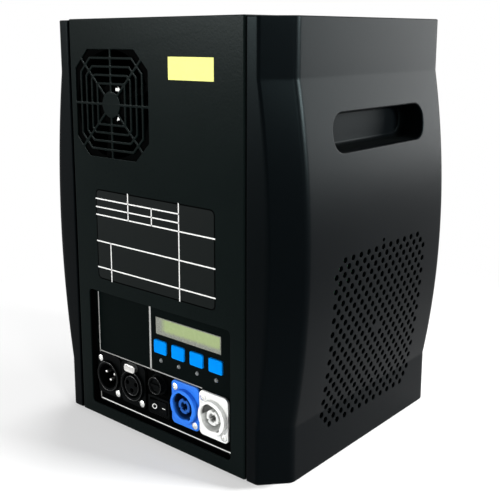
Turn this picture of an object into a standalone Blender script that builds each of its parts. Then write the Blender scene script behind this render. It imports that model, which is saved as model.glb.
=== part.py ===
"""Cold spark machine: a folded sheet body between two moulded side covers, with its fan and furnace.

The control side faces -Y, +X is its right side cover and +Z is up. The floor is z = 0. Heights named below
count from the body's bottom edge, which the feet lift off the floor. All sizes are in metres.
"""

import math

import bmesh
import bpy
from mathutils import Vector, geometry

# Fits and sheet metal
CLEARANCE = 0.0003
SHEET = 0.0012
SEAM = 0.0010
MERGE = 1e-9
FLAT = math.radians(0.05)
FOLD = 0.014
LOW_FOLD = 0.006
SHARP = math.radians(30)

# Sides of the round pieces, from those that show most down to pins and bores
FINE = 20
ROUND = 14
COARSE = 12
TINY = 8
PIN = 6

# Body
FOOT_HEIGHT = 0.006
BODY_HEIGHT = 0.300
BODY_DEPTH = 0.208
PANEL_WIDTH = 0.1674

# Side covers
COVER_WALL = 0.0025
COVER_REACH = 0.0250
COVER_DROP = 0.0007
COVER_STRIP = 0.0085
CHAMFER_DEPTH = 0.0186
BEND_RADIUS = 0.008
BEND_STEPS = 2
COVER_RIB = 0.014
BULGE = 0.010
BULGE_HEIGHT = 0.140
BULGE_FALL = 0.130
TOP_BAND = 0.038
BOTTOM_BAND = 0.031
TOE_HEIGHT = 0.039
SIDE_CENTRE = 0.0022
TOE_ROWS = (1, 2, 3, 4, 5, 7, 9)
FLANK_ROWS = (14, 19, 25)
SHOULDER_LEVELS = (0.62, 0.38, 0.18, 0.0)

# Handle pocket
HANDLE_LENGTH = 0.114
HANDLE_HEIGHT = 0.025
HANDLE_CORNER = 0.011
HANDLE_DROP = 0.073
POCKET_DEPTH = 0.019
LIP = 0.002

# Vent field of the right cover
VENT_PITCH = 0.00948
VENT_ROW = 0.0049
VENT_ROWS = 25
VENT_LONG_ROW = 13
VENT_RADIUS = 0.0021
VENT_SIDES = 4
VENT_BOTTOM = 0.0267

# Fan grille punched in the rear panel
GRILLE_X = -0.0394
GRILLE_DROP = 0.0592
GRILLE_HALF = 0.038
GRILLE_CORNER = 0.0136
GRILLE_RINGS = 4
GRILLE_PITCH = 0.0059
GRILLE_RIB = 0.0018
GRILLE_SPOKE = 0.0019
GRILLE_HUB = 0.0093

# Cooling fan
FAN_SIZE = 0.080
FAN_DEPTH = 0.025
FAN_BORE = 0.038
FAN_HUB = 0.0145
FAN_STRUT = 0.004
FAN_STRUT_DEPTH = 0.003
FAN_BLADES = 7
FAN_CORNER = 0.004
BLADE_SWEEP = math.radians(24)
BLADE_PITCH = math.radians(35)
BLADE_TWIST = math.radians(18)
BLADE_THICKNESS = 0.0014
BLADE_ROOT = 0.013
BLADE_SLICES = 2
TIP_GAP = 0.0012

# Control window and the plate set back behind it
WINDOW_WIDTH = 0.142
WINDOW_HEIGHT = 0.0913
WINDOW_BOTTOM = 0.0092
WINDOW_CORNER = 0.003
PLATE_SETBACK = 0.006
PLATE = 0.0015
TRAY_TAB = 0.007

# Display
DISPLAY_X = 0.0262
DISPLAY_Z = 0.0851
DISPLAY_WIDTH = 0.0627
DISPLAY_HEIGHT = 0.0127
DISPLAY_BORDER = 0.0028
DISPLAY_DEPTH = 0.006

# Keys and indicator lights
KEY_COUNT = 4
KEY_ROW_X = 0.0268
KEY_PITCH = 0.0178
KEY_Z = 0.0697
KEY_WIDTH = 0.0129
KEY_HEIGHT = 0.0099
KEY_PROUD = 0.0012
KEY_TRAVEL = 0.0006
KEY_SKIRT = 0.0008
KEY_EASE = 0.0004
KEY_CORNER = 0.0012
KEY_SWITCH = 0.006
KEY_BOARD_EDGE = 0.0103
BOARD_GAP = 0.0038
BOARD = 0.0016
LIGHT_Z = 0.0595
LIGHT_RADIUS = 0.0016
LIGHT_TIP = 0.0011
LIGHT_EASE = 0.0004
LIGHT_PROUD = 0.0009

# Connector row
ROW_X = -0.0013
ROW_PITCH = 0.0269
ROW_Z = 0.0333
FLANGE_WIDTH = 0.0262
FLANGE_HEIGHT = 0.0314
FLANGE_CORNER = 0.0025
FLANGE = 0.0018
SHELL_RADIUS = 0.0117
SHELL_BORE = 0.0095
SHELL_DEPTH = 0.020
SHELL_PROUD = 0.0020
PIN_PLACES = ((-0.0046, 0.0018), (0.0046, 0.0018), (0.0, -0.0037))
PIN_RADIUS = 0.00125
PIN_LENGTH = 0.011
INSERT_THICKNESS = 0.004
SOCKET_RADIUS = 0.0078
SOCKET_HOLE = 0.0017
LATCH_WIDTH = 0.0100
LATCH_HEIGHT = 0.0044
LATCH_CORNER = 0.0011
LATCH_PROUD = 0.0036
LATCH_TRAVEL = 0.0012
POWER_RADIUS = 0.0121
POWER_BORE = 0.0092
POWER_CORE = 0.0053
POWER_WELL = 0.014
POWER_DEPTH = 0.026
POWER_PROUD = 0.0012

# Fuse and power switch
FUSE_Z = 0.0417
FUSE_FLANGE = 0.0078
FUSE_TUBE = 0.0060
FUSE_BORE = 0.0052
FUSE_DEPTH = 0.028
FUSE_CAP = 0.0066
FUSE_CAP_PROUD = 0.0035
FUSE_SLOT = 0.0015
FUSE_SLOT_LENGTH = 0.0106
FUSE_LINK_RADIUS = 0.0025
FUSE_LINK_LENGTH = 0.020
SWITCH_Z = 0.0245
SWITCH_WIDTH = 0.0220
SWITCH_HEIGHT = 0.0140
SWITCH_BEZEL = 0.0018
SWITCH_RIM = 0.0012
SWITCH_WALL = 0.0008
SWITCH_DEPTH = 0.015
ROCKER_TILT = math.radians(8)
ROCKER_PROUD = 0.0016
ROCKER_PIVOT = 0.0020
ROCKER_KEEL = 0.0052
ROCKER_KEEL_DEPTH = 0.0028

# Furnace, nozzle and the bracket that carries them
SHELF_HEIGHT = 0.150
BRACKET = 0.0015
BRACKET_HALF = 0.075
BRACKET_FOOT = 0.006
BRACKET_REAR = -0.038
BRACKET_FRONT = 0.055
BARREL_RADIUS = 0.025
BARREL_BORE = 0.017
BARREL_LENGTH = 0.085
BARREL_FLANGE = 0.034
BARREL_FLANGE_THICKNESS = 0.003
SLEEVE_WALL = 0.006
SLEEVE_LENGTH = 0.036
NOZZLE_RADIUS = 0.020
NOZZLE_WALL = 0.0025
NOZZLE_FLANGE = 0.031
NOZZLE_PROUD = 0.0016

# Granule feed
HOPPER_Y = 0.060
HOPPER_RADIUS = 0.023
HOPPER_WALL = 0.0016
HOPPER_DEPTH = 0.062
HOPPER_CONE = 0.018
SPOUT_RADIUS = 0.006
FILLER_RADIUS = 0.020
LID_RADIUS = 0.026
LID = 0.0015
LID_PLUG = 0.003
LID_ARM = 0.0065
LID_ARM_EASE = 0.0004
HINGE_RADIUS = 0.0013
HINGE_PIN = 0.0006
HINGE_WIDTH = 0.011
HINGE_LUG = 0.003
FEED_RISE = 0.028
FEED_RADIUS = 0.009
FEED_WALL = 0.0020
FEED_TAIL = 0.014
SCREW_RADIUS = 0.0062
SCREW_CORE = 0.0022
SCREW_ROOT = 0.0015
SCREW_PITCH = 0.012
SCREW_FLIGHT = 0.0012
SCREW_STEPS = 6
MOTOR_RADIUS = 0.017
MOTOR_CAN = 0.0145
MOTOR_ROOM = 0.0055
GEARBOX_SHARE = 0.4

# Blower
BLOWER_Z = 0.062
BLOWER_THICKNESS = 0.030
BLOWER_WALL = 0.002
BLOWER_NEAR = 0.036
BLOWER_GROWTH = 0.008
BLOWER_OUTLET = 0.126
BLOWER_INLET = 0.022
BLOWER_TONGUE = math.radians(62)
BLOWER_STEPS = 14
WHEEL_RADIUS = 0.031
WHEEL_HUB = 0.006
WHEEL_EYE = 0.020
WHEEL_TIP = 0.0295
WHEEL_BLADE = math.radians(4)
WHEEL_SWEEP = math.radians(16)
WHEEL_BLADES = 9
SHAFT_RADIUS = 0.002
BLOWER_MOTOR_RADIUS = 0.018
BLOWER_MOTOR_LENGTH = 0.021
RISER_RADIUS = 0.0155
RISER_WALL = 0.0015

# Electrical parts inside
SUPPLY_WIDTH = 0.110
SUPPLY_HEIGHT = 0.078
SUPPLY_DEPTH = 0.032
SUPPLY_INSET = 0.005
TERMINAL = 0.006
MAIN_BOARD_LENGTH = 0.080
MAIN_BOARD_HEIGHT = 0.096
MAIN_BOARD_Z = 0.030
STANDOFF = 0.004
POST_RADIUS = 0.0014
RELAY_SIZE = 0.018
RELAY_DEPTH = 0.013
SINK_RISE = 0.0672
CAPACITORS = 3
CAPACITOR_RADIUS = 0.005
CAPACITOR_PITCH = 0.0125
CARD_BOARD_X = -0.039
CARD_BOARD_Z = 0.074
CARD_BOARD_WIDTH = 0.050
CARD_BOARD_HEIGHT = 0.038
PLUG_SIZE = (0.016, 0.006)
PLUG_DEPTH = 0.005
PLUG_DROP = 0.0127

# Feet and base
FOOT_RADIUS = 0.011
FOOT_TAPER = 0.0015
FOOT_INSET_X = 0.0217
FOOT_INSET_Y = 0.026
SLOT_LENGTH = 0.040
SLOT_WIDTH = 0.004
SLOT_PITCH = 0.010
SLOT_ROWS = 4
SLOT_CORNER = 0.0013

# Worked out from the sizes above
BOTTOM = FOOT_HEIGHT
TOP = FOOT_HEIGHT + BODY_HEIGHT
REAR = -BODY_DEPTH / 2
FRONT = BODY_DEPTH / 2
PANEL_HALF = PANEL_WIDTH / 2
COVER_EDGE = PANEL_HALF + SEAM
BAND_X = COVER_EDGE + COVER_REACH
COVER_HEIGHT = BODY_HEIGHT - COVER_DROP
HANDLE_Z = BODY_HEIGHT - HANDLE_DROP
POCKET_FLOOR = BAND_X + BULGE / 2 - POCKET_DEPTH
GRILLE_Z = BODY_HEIGHT - GRILLE_DROP
PLATE_FRONT = REAR + PLATE_SETBACK
PLATE_BACK = PLATE_FRONT + PLATE
WINDOW_Z = WINDOW_BOTTOM + WINDOW_HEIGHT / 2
FLANGE_BACK = PLATE_FRONT - CLEARANCE
FLANGE_FRONT = FLANGE_BACK - FLANGE
COLLAR_FRONT = FLANGE_FRONT - SHELL_PROUD
SHELL_END = FLANGE_BACK + SHELL_DEPTH
BOARD_FRONT = PLATE_BACK + BOARD_GAP
SHELF_TOP = BOTTOM + SHELF_HEIGHT
FLOOR_TOP = BOTTOM + SHEET
BARREL_BOTTOM = SHELF_TOP + CLEARANCE
BARREL_TOP = BARREL_BOTTOM + BARREL_LENGTH
FEED_Z = SHELF_TOP + FEED_RISE
ROOF = TOP - SHEET
PLUG_RADIUS = FILLER_RADIUS - 4 * CLEARANCE
HINGE_Y = HOPPER_Y + LID_RADIUS + 2 * HINGE_RADIUS
HINGE_Z = TOP + HINGE_RADIUS + CLEARANCE
BLOWER_X = RISER_RADIUS - BLOWER_NEAR - BLOWER_GROWTH


def clear_scene():
    for obj in list(bpy.data.objects):
        bpy.data.objects.remove(obj)


def material(name, colour, roughness, metallic=0.0):
    made = bpy.data.materials.get(name)
    if made:
        return made
    made = bpy.data.materials.new(name)
    made.use_nodes = True
    principled = made.node_tree.nodes["Principled BSDF"]
    principled.inputs["Base Color"].default_value = (*colour, 1.0)
    principled.inputs["Roughness"].default_value = roughness
    principled.inputs["Metallic"].default_value = metallic
    made.diffuse_color = (*colour, 1.0)
    return made


def powder_black():
    return material("powder_black", (0.035, 0.038, 0.040), 0.45)


def moulded_black():
    return material("moulded_black", (0.045, 0.050, 0.052), 0.42)


def black_plastic():
    return material("black_plastic", (0.015, 0.015, 0.016), 0.40)


def blue_plastic():
    return material("blue_plastic", (0.02, 0.22, 0.75), 0.35)


def key_blue():
    return material("key_blue", (0.0, 0.28, 0.95), 0.45)


def white_plastic():
    return material("white_plastic", (0.85, 0.85, 0.82), 0.40)


def zinc_steel():
    return material("zinc_steel", (0.62, 0.63, 0.64), 0.35, 1.0)


def stainless():
    return material("stainless", (0.70, 0.69, 0.67), 0.28, 1.0)


def green_board():
    return material("green_board", (0.02, 0.16, 0.06), 0.50)


def display_glass_green():
    return material("display_glass", (0.62, 0.70, 0.42), 0.25)


def light_grey():
    return material("light_grey", (0.55, 0.56, 0.55), 0.30)


def mica():
    return material("mica", (0.55, 0.48, 0.36), 0.60)


def fuse_glass():
    return material("fuse_glass", (0.75, 0.78, 0.76), 0.15)


def rubber_black():
    return material("rubber_black", (0.02, 0.02, 0.02), 0.85)


def finish(name, solid, look, pivot=(0, 0, 0)):
    """The named object of a solid, with its origin at the pivot and no edge left across a flat face."""
    bmesh.ops.dissolve_limit(solid, angle_limit=FLAT, verts=solid.verts, edges=solid.edges)
    bmesh.ops.recalc_face_normals(solid, faces=solid.faces)
    bmesh.ops.translate(solid, verts=solid.verts, vec=-Vector(pivot))
    mesh = bpy.data.meshes.new(name)
    solid.to_mesh(mesh)
    solid.free()
    mesh.materials.append(look)
    mesh.shade_smooth()
    mesh.set_sharp_from_angle(angle=SHARP)
    obj = bpy.data.objects.new(name, mesh)
    obj.location = pivot
    bpy.context.scene.collection.objects.link(obj)
    return obj


def placed(axis, a, b, h):
    """The point at (a, b) of the plane square to the axis, h along it."""
    return Vector({"X": (h, a, b), "Y": (a, h, b), "Z": (a, b, h)}[axis])


def filled(loops):
    """Corner numbers of the faces that fill the first loop and leave the others open."""
    if len(loops) == 1:
        return [range(len(loops[0]))]
    points = []
    owners = []
    edges = []
    for number, loop in enumerate(loops):
        start = len(points)
        points += [Vector(point) for point in loop]
        owners += [number] * len(loop)
        edges += [(start + i, start + (i + 1) % len(loop)) for i in range(len(loop))]
    inside = 1
    found = geometry.delaunay_2d_cdt(points, edges, [], inside, MERGE)
    faces = [[found[3][i][0] for i in face] for face in found[2]]
    in_hole = [{owners[i] for i in face} in [{hole} for hole in range(1, len(loops))] for face in faces]
    return [face for face, hole in zip(faces, in_hole) if not hole]


def prism(axis, low, high, outline, holes=()):
    """An outline with holes, drawn square to the axis and run along it from low to high."""
    solid = bmesh.new()
    loops = [outline, *holes]
    verts = [solid.verts.new(placed(axis, a, b, low)) for loop in loops for a, b in loop]
    faces = [solid.faces.new([verts[i] for i in corners]) for corners in filled(loops)]
    grown = bmesh.ops.extrude_face_region(solid, geom=faces)["geom"]
    moved = [item for item in grown if isinstance(item, bmesh.types.BMVert)]
    bmesh.ops.translate(solid, verts=moved, vec=placed(axis, 0, 0, high - low))
    bmesh.ops.recalc_face_normals(solid, faces=solid.faces)
    return solid


def box(low, high):
    outline = [(low[0], low[1]), (high[0], low[1]), (high[0], high[1]), (low[0], high[1])]
    return prism("Z", low[2], high[2], outline)


def circle(a, b, radius, sides, start=0.0):
    turns = [start + 2 * math.pi * i / sides for i in range(sides)]
    return [(a + radius * math.cos(turn), b + radius * math.sin(turn)) for turn in turns]


def rounded(a, b, width, height, corner, steps=3):
    """A rectangle about (a, b) with its corners rounded."""
    points = []
    for k, (sa, sb) in enumerate(((1, 1), (-1, 1), (-1, -1), (1, -1))):
        for i in range(steps + 1):
            turn = math.pi / 2 * (k + i / steps)
            points.append(
                (
                    a + sa * (width / 2 - corner) + corner * math.cos(turn),
                    b + sb * (height / 2 - corner) + corner * math.sin(turn),
                )
            )
    return points


def lathe(axis, centre, profile, sides):
    """A closed profile of (radius, place along the axis) points, turned about the axis."""
    solid = bmesh.new()
    rings = []
    for radius, h in profile:
        if radius == 0:
            rings.append([solid.verts.new(placed(axis, *centre, h))])
        else:
            ring = circle(*centre, radius, sides)
            rings.append([solid.verts.new(placed(axis, a, b, h)) for a, b in ring])
    for near, far in zip(rings, rings[1:] + rings[:1]):
        for i in range(sides):
            j = (i + 1) % sides
            corners = [near[i % len(near)], near[j % len(near)], far[j % len(far)], far[i % len(far)]]
            corners = list(dict.fromkeys(corners))
            if len(corners) > 2:
                solid.faces.new(corners)
    bmesh.ops.recalc_face_normals(solid, faces=solid.faces)
    return solid


def together(solids):
    """Solids that don't touch, held as one set."""
    held = bmesh.new()
    for solid in solids:
        copied = {vert: held.verts.new(vert.co) for vert in solid.verts}
        for face in solid.faces:
            held.faces.new([copied[vert] for vert in face.verts])
        solid.free()
    return held


def mirrored(solid):
    """The same solid on the other side, with -X for +X."""
    for vert in solid.verts:
        vert.co.x = -vert.co.x
    bmesh.ops.reverse_faces(solid, faces=solid.faces)
    return solid


def scratch_object(solid):
    mesh = bpy.data.meshes.new("scratch")
    solid.to_mesh(mesh)
    solid.free()
    obj = bpy.data.objects.new("scratch", mesh)
    bpy.context.scene.collection.objects.link(obj)
    return obj


def combined(operation, body, tool):
    """The body with the tool joined to it or cut from it."""
    target = scratch_object(body)
    other = scratch_object(tool)
    modifier = target.modifiers.new("combined", "BOOLEAN")
    modifier.operation = operation
    modifier.object = other
    bpy.context.view_layer.update()
    result = bmesh.new()
    result.from_object(target, bpy.context.evaluated_depsgraph_get())
    for obj in (target, other):
        mesh = obj.data
        bpy.data.objects.remove(obj)
        bpy.data.meshes.remove(mesh)
    return result


def joined(body, *tools):
    for tool in tools:
        body = combined("UNION", body, tool)
    return body


def cut(body, *tools):
    for tool in tools:
        body = combined("DIFFERENCE", body, tool)
    return body


# Side covers


def bulge_at(height):
    """How far a cover's side stands out past its straight bands, at a height above the body's bottom.

    It is a parabola above the widest height. Below it is a flatter parabola, which a smooth step
    draws in over the toe to the bottom band.
    """
    if height >= BODY_HEIGHT - TOP_BAND or height <= BOTTOM_BAND:
        return 0.0
    if height >= BULGE_HEIGHT:
        return BULGE * (1 - ((height - BULGE_HEIGHT) / (BODY_HEIGHT - TOP_BAND - BULGE_HEIGHT)) ** 2)
    step = min(1.0, (height - BOTTOM_BAND) / TOE_HEIGHT)
    return BULGE * (1 - ((BULGE_HEIGHT - height) / BULGE_FALL) ** 2) * step * step * (3 - 2 * step)


def bend(corner, before, after, radius):
    """Points round a corner of a path, as an arc that touches both of its legs."""
    toward = (Vector(before) - Vector(corner)).normalized()
    away = (Vector(after) - Vector(corner)).normalized()
    turn = math.pi - toward.angle(away)
    middle = (toward + away).normalized()
    centre = Vector(corner) + middle * radius / math.cos(turn / 2)
    points = []
    for i in range(BEND_STEPS + 1):
        swing = turn * (i / BEND_STEPS - 0.5)
        side = (away - toward).normalized()
        points.append(tuple(centre - middle * radius * math.cos(swing) + side * radius * math.sin(swing)))
    return points


def cover_path(inset, bulge):
    """The cover's wall in plan, from its rear seam round to its front seam, inset from the outer skin."""
    lean = math.hypot(COVER_REACH - COVER_STRIP, CHAMFER_DEPTH)
    along = inset * (lean - (COVER_REACH - COVER_STRIP)) / CHAMFER_DEPTH
    across = inset * (lean - CHAMFER_DEPTH) / (COVER_REACH - COVER_STRIP)
    rear = REAR + inset
    side = BAND_X + bulge - inset
    strip_end = (COVER_EDGE + COVER_STRIP + bulge - along, rear)
    side_start = (side, REAR + CHAMFER_DEPTH + across)
    radius = BEND_RADIUS - inset
    path = [(COVER_EDGE, rear)]
    path += bend(strip_end, path[0], side_start, radius)
    path += bend(side_start, strip_end, (side, 0.0), radius)
    return path + [(x, -y) for x, y in reversed(path)]


def vent_gap(row):
    """The height of the plain strip under a row of vents, where no hole crosses an edge of the skin."""
    return VENT_BOTTOM + (row - 0.5) * VENT_ROW


def cover_heights():
    """Levels of the outer skin: close over the curved toe, wide where the vents end."""
    shoulder = BODY_HEIGHT - TOP_BAND
    rise = shoulder - BULGE_HEIGHT
    below = [vent_gap(row) for row in TOE_ROWS + FLANK_ROWS]
    above = [shoulder - rise * share for share in SHOULDER_LEVELS]
    return [0.0, *below, *above, COVER_HEIGHT]


def lining_heights():
    """The inner skin follows the same curve with fewer levels."""
    heights = cover_heights()
    return heights[:2] + heights[4:-1:2] + heights[-1:]


def cover_shell():
    """The right cover: a tall shell of one wall, closed above and below and open to the body."""
    solid = bmesh.new()
    skins = []
    for inset, heights in ((0.0, cover_heights()), (COVER_WALL, lining_heights())):
        rows = []
        for height in heights:
            level = min(max(height, inset), COVER_HEIGHT - inset)
            path = cover_path(inset, bulge_at(height))
            rows.append([solid.verts.new((x, y, BOTTOM + level)) for x, y in path])
        skins.append(rows)
    for rows in skins:
        for low, high in zip(rows, rows[1:]):
            for i in range(len(low) - 1):
                solid.faces.new((low[i], low[i + 1], high[i + 1], high[i]))
        solid.faces.new(rows[0])
        solid.faces.new(rows[-1])
    outer, inner = skins
    for end in (0, -1):
        solid.faces.new([row[end] for row in outer] + [row[end] for row in reversed(inner)])
        solid.faces.new((outer[end][0], outer[end][-1], inner[end][-1], inner[end][0]))
    bmesh.ops.recalc_face_normals(solid, faces=solid.faces)
    return solid


def cover_ribs():
    """The two upright ribs by which a cover screws to the folds of the panels."""
    ribs = []
    for y in (REAR + COVER_WALL / 2, FRONT - COVER_WALL / 2 - COVER_RIB):
        low = (PANEL_HALF + CLEARANCE, y, BOTTOM + 2 * COVER_WALL)
        high = (PANEL_HALF + CLEARANCE + COVER_WALL, y + COVER_RIB, BOTTOM + COVER_HEIGHT - 2 * COVER_WALL)
        ribs.append(box(low, high))
    return together(ribs)


def slot_outline(grow):
    corner = HANDLE_CORNER + grow
    width, height = HANDLE_LENGTH + 2 * grow, HANDLE_HEIGHT + 2 * grow
    return rounded(SIDE_CENTRE, BOTTOM + HANDLE_Z, width, height, corner)


def skin_x(z, inset):
    return BAND_X + bulge_at(z - BOTTOM) - inset


def between(near, far):
    """A solid between two outlines with equal counts of points."""
    solid = bmesh.new()
    ends = [[solid.verts.new(point) for point in end] for end in (near, far)]
    for end in ends:
        for corners in geometry.tessellate_polygon([[vert.co for vert in end]]):
            solid.faces.new([end[i] for i in corners])
    for i in range(len(near)):
        j = (i + 1) % len(near)
        solid.faces.new((ends[0][i], ends[0][j], ends[1][j], ends[1][i]))
    bmesh.ops.recalc_face_normals(solid, faces=solid.faces)
    return solid


def pocket_cup():
    outline = slot_outline(COVER_WALL)
    floor = [(POCKET_FLOOR - COVER_WALL, y, z) for y, z in outline]
    mouth = [(skin_x(z, COVER_WALL / 2), y, z) for y, z in outline]
    return between(floor, mouth)


def pocket_hollow():
    return prism("X", POCKET_FLOOR, BAND_X + 2 * BULGE, slot_outline(0.0))


def pocket_lip():
    """The flare that breaks the slot's edge."""
    inner = [(skin_x(z, LIP), y, z) for y, z in slot_outline(-CLEARANCE)]
    outer = [(skin_x(z, -LIP), y, z) for y, z in slot_outline(2 * LIP - CLEARANCE)]
    return between(inner, outer)


def vent_places():
    """Staggered rows with clipped corners, and no hole at the middle, where the mould is filled."""
    middle = VENT_ROWS // 2
    for row in range(VENT_ROWS):
        count = VENT_LONG_ROW - row % 2
        if row in (0, VENT_ROWS - 1):
            count = VENT_LONG_ROW - 2
        for column in range(count):
            if row == middle and 2 * column == count - 1:
                continue
            y = SIDE_CENTRE + (column - (count - 1) / 2) * VENT_PITCH
            yield y, BOTTOM + VENT_BOTTOM + row * VENT_ROW


def vent_tools():
    ends = (BAND_X - 2 * COVER_WALL, BAND_X + 2 * BULGE)
    outlines = [circle(y, z, VENT_RADIUS, VENT_SIDES) for y, z in vent_places()]
    return together([prism("X", *ends, outline) for outline in outlines])


def cover_with_handle():
    cover = joined(cover_shell(), cover_ribs(), pocket_cup())
    return cut(cover, pocket_hollow(), pocket_lip())


def side_covers():
    finish("side_cover_right", cut(cover_with_handle(), vent_tools()), moulded_black())
    finish("side_cover_left", mirrored(cover_with_handle()), moulded_black())


# Sheet-metal body


def panel_channel(edge, inward):
    """A panel with a fold along each upright edge. Above and below, its folds stop short of the plates."""
    back = edge + inward * SHEET
    fold = edge + inward * FOLD
    inner = PANEL_HALF - SHEET
    half = [(PANEL_HALF, fold), (PANEL_HALF, edge)]
    section = [(-x, y) for x, y in half] + half[::-1]
    section += [(inner, fold), (inner, back), (-inner, back), (-inner, fold)]
    channel = prism("Z", BOTTOM, TOP, section)
    ys = sorted((back + inward * CLEARANCE, fold + inward * FOLD))
    reach = 2 * PANEL_HALF
    over = box((-reach, ys[0], ROOF - CLEARANCE), (reach, ys[1], TOP + FOLD))
    under = box((-reach, ys[0], BOTTOM - FOLD), (reach, ys[1], FLOOR_TOP + CLEARANCE))
    return cut(channel, over, under)


def octant(outer, inner):
    """One eighth of the gap between two ribs, beside the spoke along +X and below the diagonal one.

    Each rib edge is (half, reach): its flat stands at a = half and its corner cut at a + b = reach.
    """
    spoke = GRILLE_SPOKE / 2
    lean = spoke * math.sqrt(2)

    def edge_points(half, reach):
        if 2 * half - lean <= reach:
            return [(half, spoke), (half, half - lean)]
        return [(half, spoke), (half, reach - half), ((reach + lean) / 2, (reach - lean) / 2)]

    near = edge_points(*inner)
    far = edge_points(*outer)
    return far + near[::-1]


def hub_octant(outer):
    """The innermost gap's eighth, whose inner edge is the arc of the hub."""
    spoke = GRILLE_SPOKE / 2
    start = math.asin(spoke / GRILLE_HUB)
    end = math.pi / 4 - start
    turns = (start, (start + end) / 2, end)
    near = [(GRILLE_HUB * math.cos(turn), GRILLE_HUB * math.sin(turn)) for turn in turns]
    lean = spoke * math.sqrt(2)
    return [(outer, spoke), (outer, outer - lean)] + near[::-1]


def grille_edges():
    """The punched gaps from the rim inwards, each as its outer and its inner (half, reach)."""
    reach = 2 * GRILLE_HALF - GRILLE_CORNER
    outer = (GRILLE_HALF, reach)
    for ring in range(1, GRILLE_RINGS + 1):
        half = GRILLE_HALF - ring * GRILLE_PITCH
        middle = reach - ring * GRILLE_PITCH * math.sqrt(2)
        rib = GRILLE_RIB / 2
        yield outer, (half + rib, middle + rib * math.sqrt(2))
        outer = (half - rib, middle - rib * math.sqrt(2))
    yield outer, None


def grille_gaps():
    gaps = []
    for outer, inner in grille_edges():
        eighth = octant(outer, inner) if inner else hub_octant(outer[0])
        for sa in (1, -1):
            for sb in (1, -1):
                gaps.append([(sa * a, sb * b) for a, b in eighth])
                gaps.append([(sa * b, sb * a) for a, b in eighth])
    return [[(GRILLE_X + a, BOTTOM + GRILLE_Z + b) for a, b in gap] for gap in gaps]


def window_outline(grow=0.0):
    width, height = WINDOW_WIDTH + 2 * grow, WINDOW_HEIGHT + 2 * grow
    return rounded(0.0, BOTTOM + WINDOW_Z, width, height, WINDOW_CORNER + grow, 2)


def rear_panel():
    through = (REAR - SHEET, REAR + 2 * SHEET)
    punched = together([prism("Y", *through, gap) for gap in grille_gaps()])
    window = prism("Y", *through, window_outline())
    finish("rear_panel", cut(panel_channel(REAR, 1), punched, window), powder_black())


def front_panel():
    finish("front_panel", panel_channel(FRONT, -1), powder_black())


def plate_channel(outer, inner, lip):
    """A plate with a fold along its rear and front edges, cut back beside the panels' folds."""
    y = BODY_DEPTH / 2 - SHEET - CLEARANCE
    upright = y - SHEET
    half = [(y, lip), (y, outer)]
    section = half + [(-a, b) for a, b in reversed(half)]
    section += [(-upright, lip), (-upright, inner), (upright, inner), (upright, lip)]
    plate = prism("X", -PANEL_HALF, PANEL_HALF, section)
    inside = PANEL_HALF - SHEET - CLEARANCE
    low, high = sorted((inner, 2 * lip - outer))
    ends = [
        box((inside, -BODY_DEPTH, low), (BODY_DEPTH, BODY_DEPTH, high)),
        box((-BODY_DEPTH, -BODY_DEPTH, low), (-inside, BODY_DEPTH, high)),
    ]
    return cut(plate, together(ends))


def air_slots():
    slots = []
    for row in range(SLOT_ROWS):
        y = (row - (SLOT_ROWS - 1) / 2) * SLOT_PITCH
        for side in (-1, 1):
            x = side * (SLOT_LENGTH + SLOT_PITCH) / 2
            outline = rounded(x, y, SLOT_LENGTH, SLOT_WIDTH, SLOT_CORNER, 1)
            slots.append(prism("Z", BOTTOM - SHEET, FLOOR_TOP + SHEET, outline))
    return together(slots)


def base_plate():
    plate = plate_channel(BOTTOM, FLOOR_TOP, BOTTOM + LOW_FOLD)
    finish("base_plate", cut(plate, air_slots()), powder_black())


def hinge_lugs():
    """Two lugs on the top plate that hold the lid's pin."""
    root = ROOF + SHEET / 2
    arc = circle(HINGE_Y, HINGE_Z, HINGE_RADIUS, TINY, math.pi / TINY)
    upper = [(a, b) for a, b in arc if b > HINGE_Z]
    outline = [(HINGE_Y + HINGE_RADIUS, root), *upper, (HINGE_Y - HINGE_RADIUS, root)]
    hole = circle(HINGE_Y, HINGE_Z, HINGE_PIN + CLEARANCE / 2, TINY)
    lugs = []
    for side in (-1, 1):
        near = side * (HINGE_WIDTH / 2 + CLEARANCE)
        xs = sorted((near, near + side * HINGE_LUG))
        lugs.append(prism("X", *xs, outline, [hole]))
    return together(lugs)


def top_plate():
    plate = plate_channel(TOP, ROOF, TOP - FOLD)
    through = (ROOF - SHEET, TOP + SHEET)
    nozzle_hole = prism("Z", *through, circle(0, 0, NOZZLE_RADIUS + CLEARANCE, FINE))
    filler_hole = prism("Z", *through, circle(0, HOPPER_Y, FILLER_RADIUS, ROUND))
    plate = cut(plate, nozzle_hole, filler_hole)
    finish("top_plate", joined(plate, hinge_lugs()), powder_black())


def feet():
    high = FOOT_HEIGHT - CLEARANCE
    profile = [(0, 0), (FOOT_RADIUS - FOOT_TAPER, 0), (FOOT_RADIUS, high), (0, high)]
    for end, y in (("rear", REAR + FOOT_INSET_Y), ("front", FRONT - FOOT_INSET_Y)):
        for side, x in (("left", FOOT_INSET_X - PANEL_HALF), ("right", PANEL_HALF - FOOT_INSET_X)):
            foot = lathe("Z", (x, y), profile, COARSE)
            finish(f"foot_{end}_{side}", foot, rubber_black())


# Control plate and what is fitted in it


def key_x(i):
    return KEY_ROW_X + (i - (KEY_COUNT - 1) / 2) * KEY_PITCH


def connector_x(column):
    return ROW_X + column * ROW_PITCH


def rectangle(a, b, width, height):
    return [(a + sa * width / 2, b + sb * height / 2) for sa, sb in ((1, 1), (-1, 1), (-1, -1), (1, -1))]


def eased(width, height):
    """A width and a height with the clearance that a piece needs on both sides."""
    return width + 2 * CLEARANCE, height + 2 * CLEARANCE


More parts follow.
